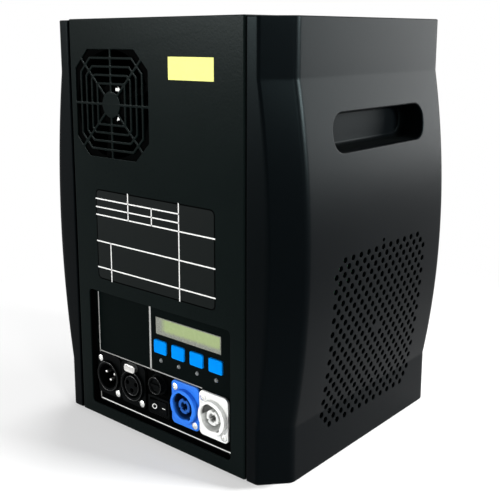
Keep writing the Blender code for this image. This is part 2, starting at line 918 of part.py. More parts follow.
def plate_cutouts():
    z = BOTTOM + ROW_Z
    holes = [circle(connector_x(column), z, SHELL_RADIUS + CLEARANCE, ROUND) for column in (-2, -1)]
    holes += [circle(connector_x(column), z, POWER_RADIUS + CLEARANCE, ROUND) for column in (1, 2)]
    holes.append(circle(connector_x(0), BOTTOM + FUSE_Z, FUSE_TUBE + CLEARANCE, COARSE))
    holes.append(rectangle(connector_x(0), BOTTOM + SWITCH_Z, *eased(*switch_body_size())))
    for i in range(KEY_COUNT):
        holes.append(rectangle(key_x(i), BOTTOM + KEY_Z, *eased(KEY_WIDTH, KEY_HEIGHT)))
        holes.append(circle(key_x(i), BOTTOM + LIGHT_Z, LIGHT_RADIUS + CLEARANCE, TINY))
    holes.append(rectangle(DISPLAY_X, BOTTOM + DISPLAY_Z, *eased(DISPLAY_WIDTH, DISPLAY_HEIGHT)))
    return holes


def control_plate():
    wall_front = REAR + SHEET + CLEARANCE
    wall_back = PLATE_BACK + PLATE / 2
    floor = prism("Y", PLATE_FRONT, PLATE_BACK, window_outline(CLEARANCE + SHEET / 2), plate_cutouts())
    wall = prism("Y", wall_front, wall_back, window_outline(CLEARANCE + SHEET), [window_outline(CLEARANCE)])
    edge = WINDOW_WIDTH / 2 + CLEARANCE + SHEET / 2
    tabs = []
    for side in (-1, 1):
        xs = sorted((side * edge, side * (edge + TRAY_TAB)))
        low = (xs[0], wall_front, BOTTOM + WINDOW_BOTTOM + 2 * WINDOW_CORNER)
        high = (xs[1], wall_front + SHEET, BOTTOM + WINDOW_BOTTOM + WINDOW_HEIGHT - 2 * WINDOW_CORNER)
        tabs.append(box(low, high))
    finish("control_plate", joined(wall, floor, together(tabs)), powder_black())


def display():
    z = BOTTOM + DISPLAY_Z
    pane = rectangle(DISPLAY_X, z, DISPLAY_WIDTH, DISPLAY_HEIGHT)
    finish("display_glass", prism("Y", PLATE_FRONT + CLEARANCE, PLATE_BACK, pane), display_glass_green())
    front = PLATE_BACK + CLEARANCE
    back = front + DISPLAY_DEPTH
    width, height = DISPLAY_WIDTH + 2 * DISPLAY_BORDER, DISPLAY_HEIGHT + 2 * DISPLAY_BORDER
    frame = prism("Y", front, back, rectangle(DISPLAY_X, z, width, height))
    outline = rectangle(DISPLAY_X, z, width + 2 * DISPLAY_BORDER, height - DISPLAY_BORDER)
    board = prism("Y", back - BOARD / 2, back + BOARD / 2, outline)
    finish("display_module", joined(frame, board), zinc_steel())


def keys():
    """Each key is a cap with eased edges and a skirt behind the plate that keeps it in."""
    front = PLATE_FRONT - KEY_PROUD
    skirt_front = PLATE_BACK + CLEARANCE
    slices = [
        (front, -KEY_EASE),
        (front + KEY_EASE / 2, 0.0),
        (skirt_front, 0.0),
        (skirt_front, KEY_SKIRT),
        (skirt_front + KEY_SKIRT, KEY_SKIRT),
    ]
    z = BOTTOM + KEY_Z
    for i in range(KEY_COUNT):
        x = key_x(i)
        rows = []
        for y, grow in slices:
            outline = rounded(x, z, KEY_WIDTH + 2 * grow, KEY_HEIGHT + 2 * grow, KEY_CORNER + grow, 1)
            rows.append([(a, y, b) for a, b in outline])
        finish(f"key_{i + 1}", skinned(rows), key_blue(), (x, front, z))


def lights():
    front = PLATE_FRONT - LIGHT_PROUD
    for i in range(KEY_COUNT):
        profile = [
            (0, front),
            (LIGHT_TIP, front + LIGHT_EASE),
            (LIGHT_RADIUS, front + LIGHT_RADIUS),
            (LIGHT_RADIUS, BOARD_FRONT - CLEARANCE),
            (0, BOARD_FRONT - CLEARANCE),
        ]
        lens = lathe("Y", (key_x(i), BOTTOM + LIGHT_Z), profile, TINY)
        finish(f"indicator_light_{i + 1}", lens, light_grey())


def posts(places, low, high, radius):
    return together([prism("Y", low, high, circle(x, z, radius, PIN)) for x, z in places])


def key_board():
    """The board behind the keys, with a switch under each key and its stands off the plate."""
    left, right = key_x(0) - KEY_BOARD_EDGE, key_x(KEY_COUNT - 1) + KEY_BOARD_EDGE
    low = BOTTOM + LIGHT_Z - 2 * LIGHT_RADIUS
    high = BOTTOM + KEY_Z + KEY_HEIGHT / 2 - KEY_SKIRT
    board = box((left, BOARD_FRONT, low), (right, BOARD_FRONT + BOARD, high))
    plunger_front = PLATE_BACK + CLEARANCE + KEY_SKIRT + KEY_TRAVEL + CLEARANCE
    middle = BOARD_FRONT + BOARD / 2
    outlines = [rectangle(key_x(i), BOTTOM + KEY_Z, KEY_SWITCH, KEY_SWITCH) for i in range(KEY_COUNT)]
    switches = [prism("Y", plunger_front, middle, outline) for outline in outlines]
    ends = [(x, (low + high) / 2) for x in (left + POST_RADIUS, right - POST_RADIUS)]
    stands = posts(ends, PLATE_BACK + CLEARANCE, middle, POST_RADIUS)
    finish("key_board", joined(board, together(switches), stands), green_board())


def card_board():
    x, z = CARD_BOARD_X, BOTTOM + CARD_BOARD_Z
    middle = BOARD_FRONT + BOARD / 2
    outline = rectangle(x, z, CARD_BOARD_WIDTH, CARD_BOARD_HEIGHT)
    board = prism("Y", BOARD_FRONT, BOARD_FRONT + BOARD, outline)
    reach = (CARD_BOARD_WIDTH / 2 - STANDOFF, CARD_BOARD_HEIGHT / 2 - STANDOFF)
    corners = [(x + side * reach[0], z + side * reach[1]) for side in (-1, 1)]
    stands = posts(corners, PLATE_BACK + CLEARANCE, middle, STANDOFF / 2)
    plug_z = z - PLUG_DROP
    plug = prism("Y", middle, BOARD_FRONT + BOARD + PLUG_DEPTH, rectangle(x, plug_z, *PLUG_SIZE))
    finish("card_reader_board", joined(board, stands, plug), green_board())


def flange_with_hole(x, z, radius):
    outline = rounded(x, z, FLANGE_WIDTH, FLANGE_HEIGHT, FLANGE_CORNER, 2)
    return prism("Y", FLANGE_FRONT, FLANGE_BACK, outline, [circle(x, z, radius, ROUND)])


def shell(x, z):
    """The flanged cup of an XLR connector, with its raised collar."""
    wall = SHELL_RADIUS - SHELL_BORE
    profile = [
        (0, SHELL_END),
        (SHELL_RADIUS, SHELL_END),
        (SHELL_RADIUS, COLLAR_FRONT),
        (SHELL_BORE, COLLAR_FRONT),
        (SHELL_BORE, SHELL_END - wall),
        (0, SHELL_END - wall),
    ]
    return joined(lathe("Y", (x, z), profile, ROUND), flange_with_hole(x, z, SHELL_RADIUS - wall / 2))


def contact_places(x, z):
    """The three contacts: two side by side and the third below them."""
    return [(x + a, z + b) for a, b in PIN_PLACES]


def xlr_input():
    x, z = connector_x(-2), BOTTOM + ROW_Z
    finish("xlr_input_shell", shell(x, z), black_plastic())
    back = SHELL_END - (SHELL_RADIUS - SHELL_BORE) - CLEARANCE
    front = back - INSERT_THICKNESS
    disc = prism("Y", front, back, circle(x, z, SHELL_BORE - CLEARANCE, COARSE))
    places = contact_places(x, z)
    pins = posts(places, front - PIN_LENGTH, back - CLEARANCE, PIN_RADIUS)
    finish("xlr_input_pins", joined(disc, pins), zinc_steel())


def xlr_output():
    x, z = connector_x(-1), BOTTOM + ROW_Z
    latch_z = z + SHELL_RADIUS - (SHELL_RADIUS - SHELL_BORE) / 2 + LATCH_HEIGHT / 2
    notch_outline = rectangle(x, latch_z, *eased(LATCH_WIDTH, LATCH_HEIGHT))
    notch = prism("Y", COLLAR_FRONT - SHELL_PROUD, FLANGE_BACK, notch_outline)
    finish("xlr_output_shell", cut(shell(x, z), notch), black_plastic())
    sockets = [circle(*place, SOCKET_HOLE, PIN) for place in contact_places(x, z)]
    back = SHELL_END - (SHELL_RADIUS - SHELL_BORE) - CLEARANCE
    insert = prism("Y", COLLAR_FRONT + CLEARANCE, back, circle(x, z, SOCKET_RADIUS, ROUND), sockets)
    finish("xlr_output_insert", insert, black_plastic())
    front = FLANGE_FRONT - LATCH_PROUD
    latch_back = FLANGE_BACK - LATCH_TRAVEL - CLEARANCE
    outline = rounded(x, latch_z, LATCH_WIDTH, LATCH_HEIGHT, LATCH_CORNER, 1)
    finish("xlr_output_latch", prism("Y", front, latch_back, outline), zinc_steel(), (x, front, latch_z))


def power_socket(name, column, look):
    """A round lock-in power connector: a flanged cup with the contact core standing in it."""
    x, z = connector_x(column), BOTTOM + ROW_Z
    front = FLANGE_FRONT - POWER_PROUD
    back = FLANGE_BACK + POWER_DEPTH
    well = front + POWER_WELL
    profile = [
        (0, back),
        (POWER_RADIUS, back),
        (POWER_RADIUS, front),
        (POWER_BORE, front),
        (POWER_BORE, well),
        (POWER_CORE, well),
        (POWER_CORE, FLANGE_FRONT),
        (0, FLANGE_FRONT),
    ]
    cup = lathe("Y", (x, z), profile, ROUND)
    finish(name, joined(cup, flange_with_hole(x, z, (POWER_RADIUS + POWER_BORE) / 2)), look)


def fuse():
    x, z = connector_x(0), BOTTOM + FUSE_Z
    front = PLATE_FRONT - CLEARANCE - FLANGE
    tube_back = PLATE_BACK + FUSE_DEPTH
    wall = FUSE_TUBE - FUSE_BORE
    holder = [
        (0, tube_back),
        (FUSE_TUBE, tube_back),
        (FUSE_TUBE, PLATE_FRONT - CLEARANCE),
        (FUSE_FLANGE, PLATE_FRONT - CLEARANCE),
        (FUSE_FLANGE, front),
        (FUSE_BORE, front),
        (FUSE_BORE, tube_back - wall),
        (0, tube_back - wall),
    ]
    finish("fuse_holder", lathe("Y", (x, z), holder, COARSE), black_plastic())
    stem = FUSE_BORE - CLEARANCE
    cap_back = front - CLEARANCE
    cap_front = cap_back - FUSE_CAP_PROUD
    stem_back = front + FUSE_BORE
    cap = [
        (0, cap_front),
        (FUSE_CAP, cap_front),
        (FUSE_CAP, cap_back),
        (stem, cap_back),
        (stem, stem_back),
        (0, stem_back),
    ]
    groove = rectangle(x, z, FUSE_SLOT_LENGTH, FUSE_SLOT)
    slot = prism("Y", cap_front - FUSE_SLOT, cap_front + FUSE_SLOT, groove)
    finish("fuse_cap", cut(lathe("Y", (x, z), cap, COARSE), slot), black_plastic(), (x, cap_front, z))
    link_front = stem_back + CLEARANCE
    link = prism("Y", link_front, link_front + FUSE_LINK_LENGTH, circle(x, z, FUSE_LINK_RADIUS, TINY))
    finish("fuse_link", link, fuse_glass(), (x, link_front, z))


def switch_body_size():
    return SWITCH_WIDTH - 2 * SWITCH_RIM, SWITCH_HEIGHT - 2 * SWITCH_RIM


def power_switch():
    x, z = connector_x(0), BOTTOM + SWITCH_Z
    width, height = switch_body_size()
    front = PLATE_FRONT - CLEARANCE - SWITCH_BEZEL
    rim = rounded(x, z, SWITCH_WIDTH, SWITCH_HEIGHT, SWITCH_RIM, 1)
    bezel = prism("Y", front, PLATE_FRONT - CLEARANCE, rim)
    body = prism("Y", front + SWITCH_BEZEL / 2, PLATE_BACK + SWITCH_DEPTH, rectangle(x, z, width, height))
    opening = rectangle(x, z, width - 2 * SWITCH_WALL, height - 2 * SWITCH_WALL)
    pivot_y = front + ROCKER_PIVOT
    hollow = prism("Y", front - SWITCH_BEZEL, pivot_y + width / 2, opening)
    finish("power_switch_housing", cut(joined(bezel, body), hollow), black_plastic())
    reach = ROCKER_PROUD + ROCKER_PIVOT
    half = (width / 2 - SWITCH_WALL - CLEARANCE - reach * math.sin(ROCKER_TILT)) / math.cos(ROCKER_TILT)
    dip = half * math.tan(ROCKER_TILT)
    section = [
        (-half, -reach),
        (0, dip - reach),
        (half, -reach),
        (half - ROCKER_PIVOT / 4, 0),
        (ROCKER_KEEL, ROCKER_KEEL_DEPTH),
        (-ROCKER_KEEL, ROCKER_KEEL_DEPTH),
        (ROCKER_PIVOT / 4 - half, 0),
    ]
    cos, sin = math.cos(ROCKER_TILT), math.sin(ROCKER_TILT)
    tilted = [(x + a * cos - b * sin, pivot_y + a * sin + b * cos) for a, b in section]
    half_height = height / 2 - SWITCH_WALL - CLEARANCE
    rocker = prism("Z", z - half_height, z + half_height, tilted)
    finish("power_switch_rocker", rocker, black_plastic(), (x, pivot_y, z))


# Cooling fan


def cooling_fan():
    x, z = GRILLE_X, BOTTOM + GRILLE_Z
    front = REAR + SHEET + CLEARANCE
    back = front + FAN_DEPTH
    outline = rounded(x, z, FAN_SIZE, FAN_SIZE, FAN_CORNER, 1)
    frame = prism("Y", front, back, outline, [circle(x, z, FAN_BORE, FINE)])
    low, high = front + CLEARANCE, front + FAN_STRUT_DEPTH
    arms = together([prism("Y", low, high, fan_strut(x, z, k)) for k in range(4)])
    hub = prism("Y", low - CLEARANCE / 2, high - CLEARANCE / 2, circle(x, z, FAN_HUB, ROUND))
    finish("fan_frame", joined(frame, arms, hub), black_plastic())
    rotor_front = high + 2 * CLEARANCE
    rotor_back = back - CLEARANCE
    cup = prism("Y", rotor_front, rotor_back, circle(x, z, FAN_HUB, COARSE))
    blades = [fan_blade(x, z, rotor_front, rotor_back, k) for k in range(FAN_BLADES)]
    finish("fan_rotor", joined(cup, together(blades)), black_plastic(), (x, rotor_front, z))


def fan_strut(x, z, k):
    """One of the four arms between the motor's disc and the corners of the frame."""
    turn = math.pi / 4 + k * math.pi / 2
    along = Vector((math.cos(turn), math.sin(turn)))
    aside = along.orthogonal() * FAN_STRUT / 2
    far, near = along * (FAN_BORE + FAN_STRUT), along * FAN_HUB / 2
    return [(x + point.x, z + point.y) for point in (far - aside, far + aside, near + aside, near - aside)]


def fan_blade(x, z, front, back, k):
    """One swept blade: slices from the hub to the tip, each flatter than the one before."""
    middle = (front + back) / 2
    depth = (back - front) / 2 - CLEARANCE
    rows = []
    for i in range(BLADE_SLICES + 1):
        share = i / BLADE_SLICES
        radius = BLADE_ROOT + (FAN_BORE - TIP_GAP - BLADE_ROOT) * share
        centre = 2 * math.pi * k / FAN_BLADES + BLADE_SWEEP * share
        reach = depth * math.tan(BLADE_PITCH + BLADE_TWIST * share) / radius
        half = BLADE_THICKNESS / 2 / radius
        row = []
        for end, side in ((-1, -1), (1, -1), (1, 1), (-1, 1)):
            turn = centre + end * reach + side * half
            a, b = radius * math.cos(turn), radius * math.sin(turn)
            row.append((x + a, middle + end * depth, z + b))
        rows.append(row)
    return skinned(rows)


def skinned(rows):
    """A solid through slices with equal counts of points, capped at both ends."""
    solid = bmesh.new()
    rings = [[solid.verts.new(point) for point in row] for row in rows]
    for near, far in zip(rings, rings[1:]):
        for i in range(len(near)):
            j = (i + 1) % len(near)
            solid.faces.new((near[i], near[j], far[j], far[i]))
    solid.faces.new(rings[0])
    solid.faces.new(rings[-1])
    bmesh.ops.triangulate(solid, faces=solid.faces)
    bmesh.ops.recalc_face_normals(solid, faces=solid.faces)
    return solid


# Furnace and nozzle


def tube(low, high, outer, inner, centre=(0, 0), sides=COARSE, axis="Z"):
    profile = [(outer, low), (outer, high), (inner, high), (inner, low)]
    return lathe(axis, centre, profile, sides)


def furnace_bracket():
    outer, inner = BRACKET_HALF, BRACKET_HALF - BRACKET
    foot_low = FLOOR_TOP + CLEARANCE
    foot_high = foot_low + BRACKET
    half = [
        (inner, SHELF_TOP - BRACKET),
        (inner, foot_low),
        (outer + BRACKET_FOOT, foot_low),
        (outer + BRACKET_FOOT, foot_high),
        (outer, foot_high),
        (outer, SHELF_TOP),
    ]
    section = half + [(-x, z) for x, z in reversed(half)]
    bracket = prism("Y", BRACKET_REAR, BRACKET_FRONT, section)
    passage = circle(0, 0, RISER_RADIUS + 2 * CLEARANCE, ROUND)
    hole = prism("Z", SHELF_TOP - 2 * BRACKET, SHELF_TOP + BRACKET, passage)
    finish("furnace_bracket", cut(bracket, hole), zinc_steel())


def furnace():
    flange_top = BARREL_BOTTOM + BARREL_FLANGE_THICKNESS
    profile = [
        (BARREL_BORE, BARREL_BOTTOM),
        (BARREL_FLANGE, BARREL_BOTTOM),
        (BARREL_FLANGE, flange_top),
        (BARREL_RADIUS, flange_top),
        (BARREL_RADIUS, BARREL_TOP),
        (BARREL_BORE, BARREL_TOP),
    ]
    inlet = prism("Y", BARREL_BORE / 2, 2 * BARREL_RADIUS, circle(0, FEED_Z, FEED_RADIUS - FEED_WALL, TINY))
    finish("furnace_barrel", cut(lathe("Z", (0, 0), profile, ROUND), inlet), stainless())
    inner = BARREL_RADIUS + CLEARANCE
    low = BARREL_TOP - SLEEVE_LENGTH - CLEARANCE
    sleeve = tube(low, low + SLEEVE_LENGTH, inner + SLEEVE_WALL, inner, sides=ROUND)
    finish("heater_sleeve", sleeve, mica())


def nozzle():
    low = BARREL_TOP + CLEARANCE
    flange_low = TOP + CLEARANCE
    high = flange_low + NOZZLE_PROUD
    bore = NOZZLE_RADIUS - NOZZLE_WALL
    profile = [
        (bore, low),
        (NOZZLE_RADIUS, low),
        (NOZZLE_RADIUS, flange_low),
        (NOZZLE_FLANGE, flange_low),
        (NOZZLE_FLANGE, high - NOZZLE_PROUD / 2),
        (NOZZLE_FLANGE - NOZZLE_PROUD / 2, high),
        (bore, high),
    ]
    finish("nozzle_tube", lathe("Z", (0, 0), profile, FINE), stainless())


# Granule feed


def hopper():
    high = ROOF - CLEARANCE
    cone_top = high - HOPPER_DEPTH
    spout_low = FEED_Z + FEED_RADIUS + CLEARANCE
    cone_low = cone_top - HOPPER_CONE
    inner = HOPPER_RADIUS - HOPPER_WALL
    spout = SPOUT_RADIUS - HOPPER_WALL
    profile = [
        (HOPPER_RADIUS, high),
        (HOPPER_RADIUS, cone_top),
        (SPOUT_RADIUS, cone_low),
        (SPOUT_RADIUS, spout_low),
        (spout, spout_low),
        (spout, cone_low),
        (inner, cone_top),
        (inner, high),
    ]
    finish("granule_hopper", lathe("Z", (0, HOPPER_Y), profile, COARSE), stainless())


def filler_lid():
    low = TOP + CLEARANCE
    profile = [
        (0, low + LID),
        (LID_RADIUS - LID / 2, low + LID),
        (LID_RADIUS, low + LID / 2),
        (LID_RADIUS, low),
        (PLUG_RADIUS, low),
        (PLUG_RADIUS, low - LID_PLUG),
        (0, low - LID_PLUG),
    ]
    disc = lathe("Z", (0, HOPPER_Y), profile, ROUND)
    half = HINGE_WIDTH / 2
    arm_start = (-half, HOPPER_Y + LID_RADIUS - LID_ARM, low + LID_ARM_EASE)
    arm = box(arm_start, (half, HINGE_Y - HINGE_PIN - CLEARANCE, low + LID - LID_ARM_EASE))
    hole = circle(HINGE_Y, HINGE_Z, HINGE_PIN + CLEARANCE / 2, TINY)
    knuckle = prism("X", -half, half, circle(HINGE_Y, HINGE_Z, HINGE_RADIUS, TINY), [hole])
    finish("filler_lid", joined(disc, arm, knuckle), powder_black(), (0, HINGE_Y, HINGE_Z))
    reach = half + CLEARANCE + HINGE_LUG
    pin = prism("X", -reach, reach, circle(HINGE_Y, HINGE_Z, HINGE_PIN, TINY))
    finish("lid_hinge_pin", pin, zinc_steel())


def feed_start():
    return BARREL_RADIUS + CLEARANCE


def feed_end():
    return HOPPER_Y + FEED_TAIL


def feed_tube():
    body = tube(feed_start(), feed_end(), FEED_RADIUS, FEED_RADIUS - FEED_WALL, (0, FEED_Z), COARSE, "Y")
    opening = circle(0, HOPPER_Y, SPOUT_RADIUS - HOPPER_WALL, TINY)
    mouth = prism("Z", FEED_Z, FEED_Z + 2 * FEED_RADIUS, opening)
    finish("feed_tube", cut(body, mouth), stainless())


def feed_screw():
    """A core with one flight wound round it, whose slices follow the helix."""
    low = feed_start() + CLEARANCE
    high = feed_end()
    core = prism("Y", low, high, circle(0, FEED_Z, SCREW_CORE, PIN))
    foot, edge = SCREW_FLIGHT / 2, SCREW_FLIGHT / 4
    section = [(SCREW_ROOT, -foot), (SCREW_RADIUS, -edge), (SCREW_RADIUS, edge), (SCREW_ROOT, foot)]
    steps = int(SCREW_STEPS * (high - low - 2 * SCREW_FLIGHT) / SCREW_PITCH)
    rows = []
    for i in range(steps + 1):
        turn = 2 * math.pi * i / SCREW_STEPS
        y = low + SCREW_FLIGHT + SCREW_PITCH * i / SCREW_STEPS
        cos, sin = math.cos(turn), math.sin(turn)
        rows.append([(radius * cos, y + side, FEED_Z + radius * sin) for radius, side in section])
    finish("feed_screw", joined(core, skinned(rows)), stainless(), (0, low, FEED_Z))


def feed_motor():
    """The motor and its gearbox fill the room between the tube's end and the front panel."""
    low = feed_end() + CLEARANCE
    high = FRONT - SHEET - MOTOR_ROOM
    gearbox = low + (high - low) * GEARBOX_SHARE
    profile = [
        (0, low),
        (MOTOR_RADIUS, low),
        (MOTOR_RADIUS, gearbox),
        (MOTOR_CAN, gearbox),
        (MOTOR_CAN, high),
        (0, high),
    ]
    finish("feed_motor", lathe("Y", (0, FEED_Z), profile, COARSE), zinc_steel())


# Blower


def blower_outline(grow, top):
    """From the tongue of the outlet round the growing spiral and up the outlet's outer side."""
    x, z = BLOWER_X, BOTTOM + BLOWER_Z
    near = BLOWER_NEAR + grow
    points = []
    for i in range(BLOWER_STEPS + 1):
        share = i / BLOWER_STEPS
        turn = BLOWER_TONGUE + (2 * math.pi - BLOWER_TONGUE) * share
        radius = near + BLOWER_GROWTH * share
        points.append((x + radius * math.cos(turn), z + radius * math.sin(turn)))
    return points + [(RISER_RADIUS + grow, top), (-RISER_RADIUS - grow, top)]


def blower():
    low, high = -BLOWER_THICKNESS / 2, BLOWER_THICKNESS / 2
    x, z = BLOWER_X, BOTTOM + BLOWER_Z
    top = BOTTOM + BLOWER_OUTLET
    housing = prism("Y", low, high, blower_outline(0.0, top))
    inner_outline = blower_outline(-BLOWER_WALL, top + BLOWER_WALL)
    hollow = prism("Y", low + BLOWER_WALL, high - BLOWER_WALL, inner_outline)
    inlet = prism("Y", low - BLOWER_WALL, low + 2 * BLOWER_WALL, circle(x, z, BLOWER_INLET, ROUND))
    bearing = circle(x, z, SHAFT_RADIUS + CLEARANCE, PIN)
    shaft_hole = prism("Y", high - 2 * BLOWER_WALL, high + BLOWER_WALL, bearing)
    legs = []
    for side in (-1, 1):
        leg_x = x + side * BLOWER_NEAR / 2
        leg_top = z - BLOWER_NEAR / 2
        near = (leg_x - BLOWER_WALL, low + BLOWER_WALL / 2, FLOOR_TOP + CLEARANCE)
        legs.append(box(near, (leg_x + BLOWER_WALL, high - BLOWER_WALL / 2, leg_top)))
    housing = cut(joined(housing, together(legs)), hollow, inlet, shaft_hole)
    finish("blower_housing", housing, black_plastic())
    blower_wheel(x, z, low, high)
    start = high + CLEARANCE
    motor = prism("Y", start, start + BLOWER_MOTOR_LENGTH, circle(x, z, BLOWER_MOTOR_RADIUS, COARSE))
    finish("blower_motor", motor, zinc_steel())
    riser_low = top + CLEARANCE
    riser = tube(riser_low, BARREL_BOTTOM - CLEARANCE, RISER_RADIUS, RISER_RADIUS - RISER_WALL, sides=ROUND)
    finish("riser_duct", riser, stainless())


def blower_wheel(x, z, low, high):
    back = high - 2 * BLOWER_WALL
    front = low + 2 * BLOWER_WALL
    disc = prism("Y", back - BLOWER_WALL, back, circle(x, z, WHEEL_RADIUS, ROUND))
    hub = prism("Y", front, back - BLOWER_WALL / 2, circle(x, z, WHEEL_HUB, TINY))
    shaft = prism("Y", back - BLOWER_WALL, high, circle(x, z, SHAFT_RADIUS, PIN))
    blades = []
    for k in range(WHEEL_BLADES):
        turn = 2 * math.pi * k / WHEEL_BLADES
        corners = [
            (WHEEL_EYE, turn),
            (WHEEL_EYE, turn + WHEEL_BLADE),
            (WHEEL_TIP, turn + WHEEL_SWEEP),
            (WHEEL_TIP, turn + WHEEL_SWEEP - WHEEL_BLADE),
        ]
        outline = [(x + radius * math.cos(way), z + radius * math.sin(way)) for radius, way in corners]
        blades.append(prism("Y", front, back - BLOWER_WALL / 2, outline))
    wheel = joined(disc, hub, shaft, together(blades))
    finish("blower_impeller", wheel, black_plastic(), (x, back, z))


# Electrical parts inside


def power_supply():
    front = FRONT - SHEET - SUPPLY_INSET
    rear = front - SUPPLY_DEPTH
    low = FLOOR_TOP + CLEARANCE
    high = low + SUPPLY_HEIGHT
    half = SUPPLY_WIDTH / 2
    case = box((-half, rear, low), (half, front, high))
    block_low = (0.0, rear + TERMINAL, high - TERMINAL)
    terminals = box(block_low, (half - TERMINAL, rear + 3 * TERMINAL, high + TERMINAL))
    finish("power_supply", joined(case, terminals), zinc_steel())


def main_board():
    """The control board on the bracket's leg, with a relay, a heat sink and three capacitors."""
    x = BRACKET_HALF + STANDOFF
    face = x + BOARD / 2
    y = (BRACKET_REAR + BRACKET_FRONT) / 2
    low = BOTTOM + MAIN_BOARD_Z
    half = MAIN_BOARD_LENGTH / 2
    board = box((x, y - half, low), (x + BOARD, y + half, low + MAIN_BOARD_HEIGHT))
    reach = half - STANDOFF
    spots = [(y - reach, low + STANDOFF), (y + reach, low + MAIN_BOARD_HEIGHT - STANDOFF)]
    stands = [prism("X", BRACKET_HALF + CLEARANCE, face, circle(a, b, STANDOFF / 2, PIN)) for a, b in spots]
    outlines = [
        rectangle(y - half / 2, low + RELAY_SIZE, RELAY_SIZE, RELAY_SIZE),
        rectangle(y, low + SINK_RISE, half, STANDOFF),
    ]
    for i in range(CAPACITORS):
        outlines.append(circle(y + CAPACITOR_PITCH * (i + 0.5), low + RELAY_SIZE, CAPACITOR_RADIUS, TINY))
    mounted = together([prism("X", face, face + RELAY_DEPTH, outline) for outline in outlines])
    finish("main_board", joined(board, together(stands), mounted), green_board())


def build():
    clear_scene()
    side_covers()
    rear_panel()
    front_panel()
    base_plate()
    top_plate()
    feet()
    control_plate()
    display()
    keys()
    lights()
    key_board()
    card_board()
    xlr_input()
    xlr_output()
    power_socket("power_inlet", 1, blue_plastic())
    power_socket("power_outlet", 2, white_plastic())
    fuse()
    power_switch()
    cooling_fan()
    furnace_bracket()
    furnace()
    nozzle()
    hopper()
    filler_lid()
    feed_tube()
    feed_screw()
    feed_motor()
    blower()
    power_supply()
    main_board()


build()
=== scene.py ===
"""Cold spark machine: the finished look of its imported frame, and the studio it stands in.

The control side faces -Y, +X is the vented side cover and +Z is up. The floor is z = 0. Sizes are in metres.
"""

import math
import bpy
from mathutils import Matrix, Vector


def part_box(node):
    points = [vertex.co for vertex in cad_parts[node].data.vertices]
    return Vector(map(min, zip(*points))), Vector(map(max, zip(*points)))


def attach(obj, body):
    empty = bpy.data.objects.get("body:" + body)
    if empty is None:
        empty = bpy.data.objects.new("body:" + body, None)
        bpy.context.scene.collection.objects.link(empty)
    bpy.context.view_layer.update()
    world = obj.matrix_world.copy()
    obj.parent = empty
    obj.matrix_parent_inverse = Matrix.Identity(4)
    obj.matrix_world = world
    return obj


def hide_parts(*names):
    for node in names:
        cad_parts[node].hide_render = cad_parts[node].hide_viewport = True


bl_info = {
    "name": "Cold spark machine",
    "version": (1, 0, 0),
    "blender": (4, 5, 0),
    "location": "View3D > Sidebar > Spark machine",
    "description": "Dresses the frame of a cold spark machine with finished pieces, finishes and a studio",
    "category": "Object",
}

import bmesh
import bpy
import numpy as np
from bpy.props import FloatProperty, FloatVectorProperty, PointerProperty
from mathutils import Euler, Vector

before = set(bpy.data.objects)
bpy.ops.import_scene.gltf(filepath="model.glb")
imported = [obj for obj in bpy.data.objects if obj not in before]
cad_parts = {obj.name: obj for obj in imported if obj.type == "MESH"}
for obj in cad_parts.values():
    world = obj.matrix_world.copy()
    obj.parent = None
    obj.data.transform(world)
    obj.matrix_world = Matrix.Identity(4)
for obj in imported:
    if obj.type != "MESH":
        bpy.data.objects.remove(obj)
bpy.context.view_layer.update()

MM = 0.001
TURN = 2 * math.pi
SHARP = math.radians(32)
FILM = 0.00005
FINE = 1e-8

# Body, as the frame has it
BOTTOM = 0.006
TOP = 0.306
REAR = -0.104
FRONT = 0.104
SHEET = 0.0012
GAP = 0.0003
PANEL_HALF = 0.0837
FOLD = 0.014
LOW_FOLD = 0.006
PANEL_SET_BACK = 0.0002
PANEL_FACE = REAR + PANEL_SET_BACK

# Side covers
COVER_EDGE = 0.0847
COVER_WALL = 0.0025
COVER_HEIGHT = 0.2993
STRIP_END = 0.0938
STRIP_SHARE = 0.88
BAND_X = 0.1097
CHAMFER_END = -0.0862
BULGE = 0.00996
WIDEST = 0.151
SHOULDER = 0.262
TOE = 0.03895
SIDE_CENTRE = 0.0022
VENT_PITCH = 0.00948
VENT_ROW = 0.0049
VENT_ROWS = 25
VENT_COLUMNS = 13
VENT_FOOT = 0.0267
PINHOLE = 0.7
SLOT_LENGTH = 0.114
SLOT_HEIGHT = 0.025
SLOT_CORNER = 0.011
SLOT_Z = 0.227
SLOT_FIELD = 0.0165
POCKET_FLOOR = 0.0957
POCKET_COVE = 0.0032
COVE_STEPS = 6

# Grille in the rear panel
GRILLE = (-0.0394, 0.2468)
GRILLE_HALF = 0.038
GRILLE_CORNER = 0.0136
GRILLE_RINGS = 4
GRILLE_PITCH = 0.0059
GRILLE_RIB = 0.0018
GRILLE_SPOKE = 0.0019
GRILLE_HUB = 0.0093

# Top plate with the nozzle, the filler and its hinge, given as (y, z), and the base's air slots
NOZZLE_HOLE = 0.0203
FILLER_HOLE = 0.020
FILLER_Y = 0.060
HINGE = (0.0886, 0.3076)
HINGE_HALF = 0.0055
HINGE_RADIUS = 0.0013
HINGE_BORE = 0.00075
HINGE_LUG = 0.003
PIN = 0.0006
LID_RADIUS = 0.026
LID_PLUG = 0.0188
NOZZLE_BORE = 0.0175
NOZZLE_RADIUS = 0.020
NOZZLE_FLANGE = 0.031
AIR_SLOTS = 4
SLOT_PITCH = 0.010
AIR_SLOT_X = 0.025
AIR_SLOT_SIZE = (0.004, 0.040)

# Fan behind the grille, and the blower's wheel
FAN_FRONT = -0.1025
FAN_BACK = -0.0775
FAN_BORE = 0.038
FAN_HUB = 0.0145
FAN_BLADES = 7
FAN_SIDE = 0.080
FAN_SCREW = 0.03575
FAN_FLANGE = 0.004
BLOWER_CENTRE = (-0.0285, 0.068)
BLOWER_BLADES = 9

